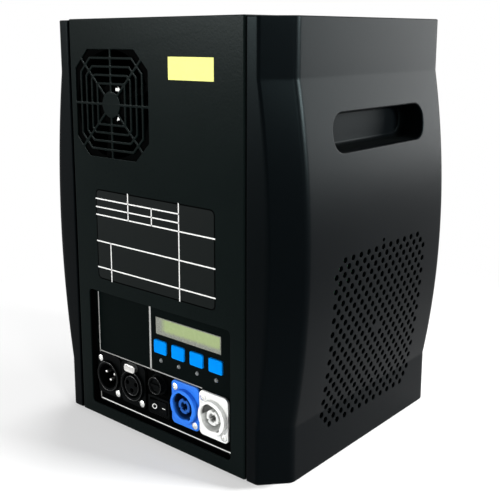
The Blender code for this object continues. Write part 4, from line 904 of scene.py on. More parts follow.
def add_pocket(parts, groups, keep, heights, column_0, columns, under):
    """The handle pocket's rings, from the grid's rectangle over the lip down to the floor, and its back."""
    low, high = (int(np.argmin(np.abs(heights - SLOT_Z - reach))) for reach in (-SLOT_FIELD, SLOT_FIELD))
    left, right = column_0, column_0 + 4 * VENT_COLUMNS
    keep[low:high, left:right] = False
    lower = low * columns + np.arange(left, right)
    far = np.arange(low, high) * columns + right
    upper = high * columns + np.arange(right, left, -1)
    near = np.arange(high, low, -1) * columns + left
    border = np.concatenate([lower, far, upper, near])
    p = parts[0][border][:, 1:]
    centre = np.array((SIDE_CENTRE, BOTTOM + SLOT_Z))
    inner = np.array((SLOT_LENGTH, SLOT_HEIGHT)) / 2 - SLOT_CORNER
    held = centre + np.clip(p - centre, -inner, inner)
    way = (p - held) / np.linalg.norm(p - held, axis=1, keepdims=True)
    back = np.array([(COVER_WALL, COVER_WALL, 0.0), (COVER_WALL, COVER_WALL, 1.0)])
    for rings, floor, shift in ((slot_rings(), POCKET_FLOOR, 0), (back, POCKET_FLOOR - COVER_WALL, under)):
        flat = held + (SLOT_CORNER + rings[:, :1, None]) * way[None]
        skin = skin_points(flat[..., 0], flat[..., 1], rings[:, 1:2])
        skin[..., 0] += (floor - skin[..., 0]) * rings[:, 2:]
        numbers = sum(map(len, parts)) + np.arange(skin.shape[0] * len(border)).reshape(-1, len(border))
        parts.append(skin.reshape(-1, 3))
        groups += [joined([border + shift, *numbers]), numbers[-1][None]]


def cover_painted_shade(points):
    """Painted shade in the vents and the handle pocket: 1 on their walls, a fifth on the pocket's floor, 0 on
    the skin.
    """
    x, y, z = np.abs(points[:, 0]), points[:, 1], points[:, 2]
    depth = BAND_X + bulge_at(z - BOTTOM) - x
    on_side = np.abs(y - SIDE_CENTRE) < SLOT_LENGTH / 2 + VENT_PITCH
    in_pocket = z > BOTTOM + SLOT_Z - SLOT_HEIGHT
    vent = np.clip(depth / (0.2 * MM), 0, 1)
    pocket = np.clip((depth - MM) / MM, 0, 1) * np.where(x < POCKET_FLOOR + 0.8 * MM, 0.2, 1.0)
    return np.where(on_side, np.where(in_pocket, pocket, vent), 0.0)


class SPARK_OT_side_covers(bpy.types.Operator):
    """Makes the two moulded side covers with their handle pockets, and the vents of the right one"""

    bl_idname = "spark.side_covers"
    bl_label = "Side covers"

    def execute(self, context):
        for side, name, vented in ((1, "right", True), (-1, "left", False)):
            points, faces = side_cover(vented)
            shell = points * (side, 1, 1), faces
            settings = {"stands_for": [f"side_cover_{name}"], "hollow": cover_painted_shade}
            piece(f"{name}_cover", shell, moulded_cover(), "moulded_black", **settings)
        return {"FINISHED"}


# Folded sheet


def folded(loops, half, place):
    """A flat pattern cut and eased, then bent down along both its long edges.

    Where w is how far u lies past half - R, the sheet follows the bend: p = half - R + (R - d) sin(w / n) and
    depth = R - (R - d) cos(w / n), with n the neutral radius. Beyond the quarter turn it runs straight down.
    """
    radius = of("spark_sizes", "sheet_bend")
    neutral = radius - SHEET / 2
    start = half - radius
    points, faces = flat_plate(loops, 0.0, SHEET, of("spark_sizes", "sheet_ease"))
    sheet = bpy.data.meshes.new("flat_pattern")
    sheet.from_pydata(points.tolist(), [], faces[0].tolist())
    work = bmesh.new()
    work.from_mesh(sheet)
    for side in (-1, 1):
        for turn in np.linspace(0, TURN / 4, 7):
            everything = [*work.verts, *work.edges, *work.faces]
            spot = (side * (start + neutral * turn), 0, 0)
            bmesh.ops.bisect_plane(work, geom=everything, dist=1e-7, plane_co=spot, plane_no=(1, 0, 0))
    bmesh.ops.triangulate(work, faces=work.faces)
    work.to_mesh(sheet)
    work.free()
    points, faces = mesh_arrays(sheet)
    bpy.data.meshes.remove(sheet)
    u, v, d = points.T
    past = np.maximum(np.abs(u) - start, 0)
    swing = np.minimum(past / neutral, TURN / 4)
    beyond = np.maximum(past - neutral * TURN / 4, 0)
    p = np.sign(u) * np.where(past > 0, start + (radius - d) * np.sin(swing), np.abs(u))
    depth = np.where(past > 0, radius - (radius - d) * np.cos(swing) + beyond, d)
    return np.stack(place(p, v, depth), axis=-1), faces


def flat_pattern(half, fold, low, high, notch):
    """The outline of a sheet before it is bent, whose flaps stop short of its ends by a notch."""
    radius = of("spark_sizes", "sheet_bend")
    bend = half - radius + (radius - SHEET / 2) * TURN / 4
    reach = bend + fold - radius
    lower = [(bend, low), (bend, low + notch), (reach, low + notch)]
    side = lower + [(u, low + high - v) for u, v in reversed(lower)]
    return np.array(side + [(-u, v) for u, v in reversed(side)])


def grille_edges():
    """The punched gaps from the rim inwards, each as its outer and its inner (half, reach)."""
    reach = 2 * GRILLE_HALF - GRILLE_CORNER
    outer = (GRILLE_HALF, reach)
    slant = math.sqrt(2)
    for ring in range(1, GRILLE_RINGS + 1):
        half = GRILLE_HALF - ring * GRILLE_PITCH
        middle = reach - ring * GRILLE_PITCH * slant
        rib = GRILLE_RIB / 2
        yield outer, (half + rib, middle + rib * slant)
        outer = (half - rib, middle - rib * slant)
    yield outer, None


def grille_gaps():
    """Each gap of the grille between two octagonal ribs, a straight spoke and a diagonal one."""
    spoke = GRILLE_SPOKE / 2
    lean = spoke * math.sqrt(2)

    def edge_points(half, reach):
        if 2 * half - lean <= reach:
            return [(half, spoke), (half, half - lean)]
        return [(half, spoke), (half, reach - half), ((reach + lean) / 2, (reach - lean) / 2)]

    eighths = []
    for outer, inner in grille_edges():
        if inner:
            near = edge_points(*inner)
        else:
            start = math.asin(spoke / GRILLE_HUB)
            turns = np.linspace(start, TURN / 8 - start, 6)
            near = [(GRILLE_HUB * math.cos(turn), GRILLE_HUB * math.sin(turn)) for turn in turns]
        eighths.append(np.array(edge_points(*outer) + near[::-1]))
    flips = [np.array(((sa, 0), (0, sb))) for sa in (1, -1) for sb in (1, -1)]
    ways = [swap @ flip for flip in flips for swap in (np.eye(2), np.eye(2)[::-1])]
    return [softened(gap @ way, 0.0006, 2, True) + GRILLE for gap in eighths for way in ways]


class SPARK_OT_folded_panels(bpy.types.Operator):
    """Makes the folded sheets: rear panel with grille and window, front panel, top plate and base plate"""

    bl_idname = "spark.folded_panels"
    bl_label = "Folded panels"

    def execute(self, context):
        short = SHEET + GAP
        half = FRONT - short
        panel = flat_pattern(PANEL_HALF, FOLD, BOTTOM, TOP, short)
        window = rounded(WINDOW, WINDOW_SIZE, WINDOW_CORNER)
        top, base = (flat_pattern(half, fold, -PANEL_HALF, PANEL_HALF, short) for fold in (FOLD, LOW_FOLD))
        holes = [circle((0.0, 0.0), NOZZLE_HOLE, 64), circle((FILLER_Y, 0.0), FILLER_HOLE, 64)]
        rows = SLOT_PITCH * (np.arange(AIR_SLOTS) - (AIR_SLOTS - 1) / 2)
        places = [(row, side * AIR_SLOT_X) for row in rows for side in (-1, 1)]
        slots = [rounded(place, AIR_SLOT_SIZE, 0.0019, 4) for place in places]
        sheets = {
            "rear": ([panel, *grille_gaps(), window], PANEL_HALF, lambda p, v, d: (p, PANEL_FACE + d, v)),
            "front": ([panel], PANEL_HALF, lambda p, v, d: (p, FRONT - d, v)),
            "top": ([top, *holes], half, lambda p, v, d: (v, p, TOP - d)),
            "base": ([base, *slots], half, lambda p, v, d: (v, p, BOTTOM + d)),
        }
        nodes = {"rear": "rear_panel", "front": "front_panel", "top": "top_plate", "base": "base_plate"}
        for name, sheet in sheets.items():
            shell = folded(*sheet)
            if name == "top":
                shell = together(shell, hinge_lugs())
            piece(f"{name}_sheet", shell, powder_coat(), "powder_black", stands_for=[nodes[name]])
        return {"FINISHED"}


def hinge_lugs():
    """The two ears that hold the lid's pin: a half round over straight legs, with a bore."""
    t = np.linspace(0, TURN / 2, 17)
    arch = np.column_stack([HINGE[0] + HINGE_RADIUS * np.cos(t), HINGE[1] + HINGE_RADIUS * np.sin(t)])
    legs = np.array([(HINGE[0] - HINGE_RADIUS, TOP - SHEET / 2), (HINGE[0] + HINGE_RADIUS, TOP - SHEET / 2)])
    outline = np.vstack([arch, legs])
    lugs = []
    for side in (-1, 1):
        near, far = sorted((side * (HINGE_HALF + GAP), side * (HINGE_HALF + GAP + HINGE_LUG)))
        points, faces = flat_plate([outline, circle(HINGE, HINGE_BORE, 24)], near, far, 0.00015)
        lugs.append((points[:, [2, 0, 1]], faces))
    return together(*lugs)


# Labels and print


STICKER = (0.0383, 0.2732)
STICKER_SIZE = (0.0402, 0.0148)
LABEL = (-0.0004, 0.15088)
LABEL_SIZE = (0.1178, 0.06775)
LABEL_CORNER = 0.004
LABEL_FILM = 0.0001
LINE = 0.0009

RULES = (
    ((-0.0590, 0.1776), (0.0258, 0.1776)),
    ((-0.0590, 0.1715), (0.0258, 0.1715)),
    ((-0.0590, 0.1657), (0.0583, 0.1657)),
    ((-0.0590, 0.1458), (0.0583, 0.1458)),
    ((-0.0590, 0.1259), (0.0583, 0.1259)),
    ((-0.0245, 0.1847), (-0.0245, 0.1657)),
    ((-0.0006, 0.1776), (-0.0006, 0.1657)),
    ((0.0258, 0.1845), (0.0258, 0.1173)),
    ((-0.0441, 0.1458), (-0.0441, 0.1172)),
)

# Start, end and width of the lines on the control plate, with the brightest last
PRINTED = (
    ((-0.0675, 0.0557), (-0.0675, 0.1030), 0.0010),
    ((-0.0106, 0.0564), (-0.0106, 0.1036), 0.0017),
    ((-0.0675, 0.0563), (0.0400, 0.0563), 0.0008),
    ((-0.0680, 0.0170), (-0.0680, 0.0246), 0.0009),
    ((-0.0680, 0.0171), (0.0660, 0.0171), 0.0009),
)


def printed_bar(start, end, width, face):
    """A thin bar of ink from one point to another, just proud of a face."""
    start, end = np.array(start), np.array(end)
    low = np.minimum(start, end) - width / 2
    high = np.maximum(start, end) + width / 2
    loop = rounded((low + high) / 2, high - low, width / 3, 2)
    return printed([loop], face)


class SPARK_OT_labels(bpy.types.Operator):
    """Makes the bare yellow sticker, the ruled label and the lines printed on the control plate"""

    bl_idname = "spark.labels"
    bl_label = "Labels and print"

    def execute(self, context):
        colours = context.scene.spark_colours
        yellow = film("sticker_film", tuple(colours.sticker_yellow), 0.45)
        dark = film("label_film", tuple(colours.label_grey), 0.50)
        white = print_ink("white_ink", tuple(colours.ink_white))
        sticker = printed([rounded(STICKER, STICKER_SIZE, 0.0003, 2)], PANEL_FACE, 0.00012, 0.00003)
        piece("sticker", sticker, yellow, "white_plastic")
        border = grown(LABEL, LABEL_SIZE, LABEL_CORNER)
        piece("ruled_label", printed([border(0.0)], PANEL_FACE, LABEL_FILM, 0.00003), dark, "black_plastic")
        face = PANEL_FACE - LABEL_FILM
        ruling = [printed_bar(start, end, LINE, face) for start, end in RULES]
        piece("label_ruling", together(*ruling), white, "white_plastic", merge=FINE)
        # A thin near-black ring round the label's edge: painted shadow of the label's thickness.
        edge = printed([border(0.0), border(-LINE)], face, 0.00002, 0.000005)
        piece("label_border", edge, matt_black(), "black_plastic", merge=FINE)
        # The plate's other lines use the white ink darkened to 0.45 of its colour; the foot line stays full
        # white.
        grey = print_ink("grey_ink", shade(tuple(colours.ink_white), 0.45))
        *lines, foot = [printed_bar(*line, PLATE_FACE - FILM) for line in PRINTED]
        piece("plate_print", together(*lines), grey, "white_plastic", merge=FINE)
        piece("plate_print_foot", foot, white, "white_plastic", merge=FINE)
        return {"FINISHED"}


# Control tray and what is set in it


def window_at(grow):
    """The window's outline with its sides moved out by an amount."""
    return rounded(WINDOW, np.array(WINDOW_SIZE) + 2 * grow, WINDOW_CORNER + grow)


class SPARK_OT_control_tray(bpy.types.Operator):
    """Makes the tray set back behind the control window, with its cut-outs"""

    bl_idname = "spark.control_tray"
    bl_label = "Control tray"

    def execute(self, context):
        bores = ((0, DATA_HOLE), (1, DATA_HOLE), (3, POWER_HOLE), (4, POWER_HOLE))
        holes = [circle((CONNECTOR_XS[column], ROW_Z), radius) for column, radius in bores]
        holes.append(circle((CONNECTOR_XS[2], FUSE_Z), 0.0063))
        holes.append(rounded((CONNECTOR_XS[2], SWITCH_Z), (0.0202, 0.0122), 0.0004, 1))
        field = printed([rounded(FIELD, FIELD_SIZE, 0.003), *holes], PLATE_FACE, 0.00004)
        piece("plate_field", field, matt_black(), "black_plastic", merge=FINE)
        for x in KEY_XS:
            holes.append(rounded((x, KEY_Z), np.array(KEY_SIZE) + 2 * GAP, 0.0012, 4))
            holes.append(circle((x, LIGHT_Z), LIGHT_RADIUS + GAP, 24))
        holes.append(rounded(DISPLAY, np.array(DISPLAY_SIZE) + 2 * GAP, 0.0004, 2))
        floor = upright([window_at(GAP + SHEET / 2), *holes], PLATE_FACE, PLATE_BACK, 0.00025)
        front, back = REAR + SHEET + GAP, PLATE_BACK + (PLATE_BACK - PLATE_FACE) / 2
        section = [(GAP, front), (GAP, back), (GAP + SHEET, back), (GAP + SHEET, front)]
        wall = stacked(window_at, softened(section, 0.0003, 2, True), tube=True)
        ease = 0.0002
        rings = [(-ease, front), (0, front + ease), (0, front + SHEET - ease), (-ease, front + SHEET)]
        x = WINDOW_SIZE[0] / 2 + GAP + (SHEET + TRAY_TAB) / 2
        size = (TRAY_TAB, WINDOW_SIZE[1] - 4 * WINDOW_CORNER)
        tabs = [stacked(grown((side * x, WINDOW[1]), size, 0.001, 3), rings) for side in (-1, 1)]
        nodes = ["control_plate"]
        piece("control_tray", together(floor, *tabs), tray_coat(), "powder_black", stands_for=nodes)
        # The tray's walls in a near-black matt finish: painted shade in the recess behind the window.
        piece("tray_wall", wall, matt_black(), "powder_black", stands_for=nodes)
        return {"FINISHED"}


def cushion(centre, size, corner, front, crown, ease, skirt):
    """A key: its edge rolls over a quarter circle and its face rises inward by crown (1 - (1 - s)^2).

    The skirt gives the back's rings: how far each stands out and its depth.
    """
    turns = np.linspace(TURN / 4, 0, 6)
    roll = [(-ease * (1 - math.sin(turn)), front + ease * (1 - math.cos(turn))) for turn in turns]
    half = min(size) / 2 - ease
    rise = [(-ease - half * s, front - crown * (1 - (1 - s) ** 2)) for s in np.linspace(0.12, 0.97, 7)]
    return stacked(grown(centre, size, corner, 5), [*skirt, *roll, *rise])


def dome(radius, height, steps):
    """Half of a round end's profile, from its tip to its side: r = R sin t, h = height - R cos t."""
    return [(radius * math.sin(t), height - radius * math.cos(t)) for t in np.linspace(0, TURN / 4, steps)]


class SPARK_OT_display_and_keys(bpy.types.Operator):
    """Makes the display pane, the four blue keys and the four indicator lenses"""

    bl_idname = "spark.display_and_keys"
    bl_label = "Display and keys"

    def execute(self, context):
        pane = stacked(
            grown(DISPLAY, DISPLAY_SIZE, 0.0004, 2),
            [(-0.0002, -0.0977), (0.0, -0.0975), (0.0, -0.0966), (-0.0001, -0.0965)],
        )
        piece("display_pane", pane, lit_pane(), "display_pane", stands_for=["display_glass"])
        blue = plastic("key_blue", tuple(context.scene.spark_colours.key_blue), 0.50, 0.006)
        skirt = [(0.0008, -0.0954), (0.0008, -0.0962), (0.0, -0.0962)]
        lens = dome(LIGHT_RADIUS, -0.0973, 7) + [(LIGHT_RADIUS, -0.0930), (0.0, -0.0930)]
        for number, x in enumerate(KEY_XS, start=1):
            node = f"key_{number}"
            key = cushion((x, KEY_Z), KEY_SIZE, 0.0012, -0.0990, 0.0002, 0.0005, skirt)
            piece(f"key_cap_{number}", key, blue, "key_blue", body=node, stands_for=[node])
            light, node = turned(lens, (x, LIGHT_Z), sides=24), f"indicator_light_{number}"
            piece(f"indicator_{number}", light, lens_grey(), "light_grey", stands_for=[node])
        return {"FINISHED"}


def screw_head(centre, radius, back, rise):
    """A domed head, h = rise (1 - 0.55 (r / R)^2), less a cross whose arms lie along c = 0 and d = 0."""
    turns = np.linspace(0, TURN, 48, endpoint=False)
    share = np.concatenate([0.08 * np.arange(10), [0.82, 0.92, 1.0]])[:, None]
    a, b = radius * share * np.cos(turns), radius * share * np.sin(turns)
    turn = math.radians(20)
    c, d = a * math.cos(turn) - b * math.sin(turn), a * math.sin(turn) + b * math.cos(turn)
    width = radius * 0.13
    arm = np.clip((width * 1.35 - np.minimum(np.abs(c), np.abs(d))) / (width * 0.5), 0, 1)
    reach = np.clip((radius * 0.46 - np.hypot(a, b)) / (radius * 0.1), 0, 1)
    h = back - rise * (0.45 + 0.55 * (1 - share**2)) + rise * 1.1 * arm * reach
    face = placed("Y", centre[0] + a, centre[1] + b, h)
    rim = placed("Y", centre[0] + a[-1], centre[1] + b[-1], back)
    under = placed("Y", centre[0] + 0 * a[-1], centre[1] + 0 * b[-1], back)
    return np.concatenate([face, rim, under]), [quads(len(share) + 2, len(turns), False, True)]


def screw_places(x, corners):
    """Centres of a flange's screws, at the corners named by the signs of x and z."""
    return [(x + a * SCREW_OFFSET[0], ROW_Z + b * SCREW_OFFSET[1]) for a, b in corners]


def flange(x, bore, corners=BOTH_CORNERS):
    """The flange of a panel connector with its bore and the holes of its screws."""
    outline = rounded((x, ROW_Z + 0.0004), FLANGE_SIZE, FLANGE_CORNER)
    holes = [circle((x, ROW_Z), bore, 64), *(circle(place, 0.0016, 24) for place in screw_places(x, corners))]
    return upright([outline, *holes], FLANGE_FACE, FLANGE_BACK, 0.00035)


def flange_screws(name, x, corners=BOTH_CORNERS):
    heads = [screw_head(place, 0.0025, FLANGE_FACE + 0.0001, 0.0009) for place in screw_places(x, corners)]
    piece(name, together(*heads), screw_steel(), "zinc_steel")


def rim_sheen_beads(name, centre, rings, body="machine"):
    """Fine round beads that stand half out of a mouth's rim, each given by its radius and height. Their black
    is lighter and glossier than the shell's: partly a real highlight from the lamps, partly a painted
    highlight in the lighter colour.
    """
    parts = [turned(circle(ring, 0.00024, 8), centre, sides=72, tube=True) for ring in rings]
    piece(name, together(*parts), bead_black(), "black_plastic", body=body)


CONTACTS = ((-0.0046, 0.0018), (0.0046, 0.0018), (0.0, -0.0037))
PIN_RADIUS = 0.00125
CUP_BEAD = (0.0112, -0.1021)


def well_shade(points):
    """Painted shade down a data connector's bore: 0 at its mouth and 1 from a few millimetres further in."""
    return np.clip((points[:, 1] + 0.1005) / 0.004, 0, 1)


class SPARK_OT_data_connectors(bpy.types.Operator):
    """Makes the data input with its three pins, and the data output with its insert and push latch"""

    bl_idname = "spark.data_connectors"
    bl_label = "Data connectors"

    def execute(self, context):
        x = CONNECTOR_XS[0]
        self.shell("input", x, BOTH_CORNERS, "screws", (CUP_BEAD,))
        pin = dome(PIN_RADIUS, -0.0984, 6) + [(PIN_RADIUS, -0.0852), (0, -0.0852)]
        pins = together(*(turned(pin, (x + a, ROW_Z + b), sides=20) for a, b in CONTACTS))
        piece("data_input_pins", pins, brushed_stainless(), "zinc_steel", stands_for=["xlr_input_pins"])
        disc = softened([(0, -0.0850), (0.0092, -0.0850), (0.0092, -0.0808), (0, -0.0808)])
        piece("data_input_insert", turned(disc, (x, ROW_Z)), matt_black(), "black_plastic")
        x = CONNECTOR_XS[1]
        self.shell("output", x, LOW_CORNER, "screw", (CUP_BEAD, (0.0073, -0.1018)))
        sockets = [circle((x + a, ROW_Z + b), 0.0017, 24) for a, b in CONTACTS]
        insert = upright([circle((x, ROW_Z), 0.0078, 64), *sockets], -0.1018, -0.0808, 0.0004)
        nodes = ["xlr_output_insert"]
        piece("data_output_insert", insert, black_plastic(), "black_plastic", stands_for=nodes)
        rings = [(0, -0.0998), (0, -0.1032), (-0.0002, -0.1035)]
        rings += [(-0.0006, -0.1037), (-0.0014, -0.1036), (-0.0019, -0.1035)]
        latch = stacked(grown((x - 0.0006, 0.0530), (0.0114, 0.0060), 0.0024, 5), rings)
        node = "xlr_output_latch"
        piece("data_output_latch", latch, brushed_stainless(), "zinc_steel", body=node, stands_for=[node])
        return {"FINISHED"}

    def shell(self, way, x, corners, screws, rings):
        """The flanged cup of one connector, with its screws and the beads round its mouth."""
        outside = [(0, -0.0783), (0.0117, -0.0783), (0.0117, -0.1021)]
        cup = softened(outside + [(0.0095, -0.1021), (0.0095, -0.0805), (0, -0.0805)], 0.0005)
        shell = together(flange(x, 0.0118, corners), turned(cup, (x, ROW_Z), sides=64))
        name, nodes = f"data_{way}", [f"xlr_{way}_shell"]
        piece(f"{name}_shell", shell, black_plastic(), "black_plastic", stands_for=nodes, hollow=well_shade)
        flange_screws(f"{name}_{screws}", x, corners)
        rim_sheen_beads(f"{name}_bead", (x, ROW_Z), rings)


def power_socket(name, x, look, slot, node, dusk):
    """A round lock-in socket: flanged cup with a keyed mouth and a slotted contact core that stands in it.

    Painted shade darkens its hollows: fully in the keyways, by a given share of that beside the core, and
    halfway between the two within the core.
    """

    def lobe(t, way, wide, power):
        return np.exp(-(((t - way + TURN / 2) % TURN - TURN / 2) / wide) ** power)

    def keyed(t, r, h):
        mouth = (r < 0.0098) & (r > 0.0080) & (h < -0.0880)
        slit = (r > 0.0026) & (r < 0.0058) & (h < -0.0890)
        ways = 0.0011 * lobe(t, 2.38, 0.72, 8) + 0.0012 * lobe(t, 5.4, 0.2, 4)
        cuts = lobe(t, 1.45, 0.28, 4) + lobe(t, 3.7, 0.12, 4) + lobe(t, 5.4, 0.12, 4)
        return np.where(mouth, ways, 0.0) - np.where(slit, 0.0012 * cuts, 0.0)

    # Painted shade of the socket's hollows, as above.
    def dark(points):
        r = np.hypot(points[:, 0] - x, points[:, 2] - ROW_Z)
        share = np.select([r > 0.0093, r < 0.0036], [1.0, (1 + dusk) / 2], dusk)
        return np.clip((points[:, 1] + 0.1022) / 0.0018, 0, 1) * share * (r < 0.0112)

    cup = [(0, -0.0723), (0.0121, -0.0723), (0.0121, -0.1030), (0.0090, -0.1030), (0.0090, -0.1004)]
    cup += [(0.0090, -0.0873), (0.0055, -0.0873)]
    core = [(0.0055, -0.0995), (0.0055, -0.1012), (0.0031, -0.1012), (0.0030, -0.0998)]
    core += [(0.0028, -0.0925), (0, -0.0925)]
    shell = turned(softened(cup + core, 0.0005), (x, ROW_Z), sides=128, wave=keyed)
    piece(name, together(flange(x, 0.0122), shell), look, slot, stands_for=[node], hollow=dark)
    flange_screws(f"{name}_screws", x)


class SPARK_OT_power_connectors(bpy.types.Operator):
    """Makes the blue power inlet and the white power outlet"""

    bl_idname = "spark.power_connectors"
    bl_label = "Power connectors"

    def execute(self, context):
        colours = context.scene.spark_colours
        # The last number of each finish sets how dark the painted shade in its socket's hollows makes it, and
        # the last number of each socket sets the share of that beside the core.
        blue = plastic("inlet_blue", tuple(colours.inlet_blue), 0.36, 0.15, 0.02)
        white = plastic("outlet_white", tuple(colours.outlet_white), 0.40, 0.3, 0.06)
        power_socket("inlet_socket", CONNECTOR_XS[3], blue, "blue_plastic", "power_inlet", 0.85)
        power_socket("outlet_socket", CONNECTOR_XS[4], white, "white_plastic", "power_outlet", 0.08)
        return {"FINISHED"}


class SPARK_OT_fuse_and_switch(bpy.types.Operator):
    """Makes the fuse holder and its cap, and the power switch with its rocker"""

    bl_idname = "spark.fuse_and_switch"
    bl_label = "Fuse and switch"

    def execute(self, context):
        black = black_plastic()
        x = CONNECTOR_XS[2]
        centre = (x, FUSE_Z)
        holder = [(0, -0.0685), (0.0060, -0.0685), (0.0060, -0.0983), (0.0078, -0.0983), (0.0078, -0.1001)]
        holder += [(0.0052, -0.1001), (0.0052, -0.0693), (0, -0.0693)]
        socket = turned(softened(holder), centre)
        piece("fuse_socket", socket, black, "black_plastic", stands_for=["fuse_holder"])

        def knurl(t, r, h):
            rim = (r > 0.0062) & (h > -0.1036) & (h < -0.1006)
            return np.where(rim, -0.00012 * (1 - np.cos(24 * t)), 0.0)

        cap = [(0, -0.1024), (0.0046, -0.1024), (0.0050, -0.1039), (0.0066, -0.1039), (0.0066, -0.1004)]
        cap += [(0.0049, -0.1004), (0.0049, -0.0949), (0, -0.0949)]
        body = turned(softened(cap, 0.0004), centre, sides=144, wave=knurl)
        rings = [(0, -0.1022), (0, -0.1035), (-0.0002, -0.1037)]
        bar = stacked(grown(centre, (0.0086, 0.0018), 0.0004, 2), rings)
        node = "fuse_cap"
        piece("fuse_cap_head", together(body, bar), black, "black_plastic", body=node, stands_for=[node])
        rim_sheen_beads("fuse_cap_bead", centre, ((0.0062, -0.1037),), node)
        centre = (x, SWITCH_Z)
        outer = grown(centre, (0.0220, 0.0140), 0.0012, 4)
        inner = grown(centre, (0.0180, 0.0100), 0.0005, 4)
        rim = [(0, -0.0983), (0, -0.0998), (-0.0003, -0.1001)]
        wall = [(0.0003, -0.1001), (0, -0.0998), (0, -0.0880), (0.0008, -0.0880), (0.0008, -0.0983)]
        loops = np.stack([outer(grow) for grow, _ in rim] + [inner(grow) for grow, _ in wall])
        heights = np.array([h for _, h in rim + wall])[:, None]
        points = placed("Y", loops[..., 0], loops[..., 1], heights)
        housing = (points, [quads(len(heights), loops.shape[1], True, True)])
        floor = stacked(grown(centre, (0.0196, 0.0116), 0.0006, 4), [(0, -0.0880), (0, -0.0815)])
        nodes = ["power_switch_housing"]
        piece("switch_housing", together(housing, floor), black, "black_plastic", stands_for=nodes)
        self.rocker(centre, black)
        return {"FINISHED"}

    def rocker(self, centre, black):
        """The rocker: its face is two flats that meet in a shallow valley, tipped by TILT about its pivot."""
        low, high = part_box("power_switch_rocker")
        half_z = (high.z - low.z) / 2
        valley = ROCKER_HALF * math.tan(TILT)
        right = [(ROCKER_HALF, ROCKER_FACE), (ROCKER_HALF - 0.0005, 0), (0.0052, 0.0028)]
        left = [(-a, h) for a, h in reversed(right)]
        section = softened([left[-1], (0, valley + ROCKER_FACE), *right, *left[:-1]], 0.0006, 4, True)
        cos, sin = math.cos(TILT), math.sin(TILT)

        def slice_at(grow):
            shrunk = section * (1 + grow / ROCKER_HALF)
            return np.column_stack([centre[0] + shrunk @ (cos, -sin), ROCKER_PIVOT + shrunk @ (sin, cos)])

        ease = 0.0003
        rings = [(-ease, -half_z), (0, ease - half_z), (0, half_z - ease), (-ease, half_z)]
        shell = stacked(slice_at, [(grow, centre[1] + height) for grow, height in rings], axis="Z")
        node = "power_switch_rocker"
        piece("switch_rocker", shell, black, "black_plastic", body=node, stands_for=[node])
        white = print_ink("mark_white", tuple(bpy.context.scene.spark_colours.ink_white))
        ink, edge = 0.00008, 0.00001
        ring = flat_plate([circle((0, 0), 0.0020, 32), circle((0, 0), 0.0014, 32)], 0, ink, edge, 1)
        bar = flat_plate([rounded((0, 0), (0.0034, 0.0006), 0.0001, 2)], 0, ink, edge, 1)
        fall = math.atan2(valley, ROCKER_HALF)
        marks = []
        for (points, faces), place in ((ring, -0.0032), (bar, 0.0053)):
            a, b, h = points.T
            lean = -np.sign(place) * fall
            along = place + a * math.cos(lean)
            out = ROCKER_FACE + valley * (1 - abs(place) / ROCKER_HALF) - h - edge + a * math.sin(lean)
            x = centre[0] + along * cos - out * sin
            y = ROCKER_PIVOT + along * sin + out * cos
            marks.append((np.stack([x, y, centre[1] + b], axis=-1), faces))
        piece("switch_marks", together(*marks), white, "white_plastic", body=node, merge=FINE)


# Fan


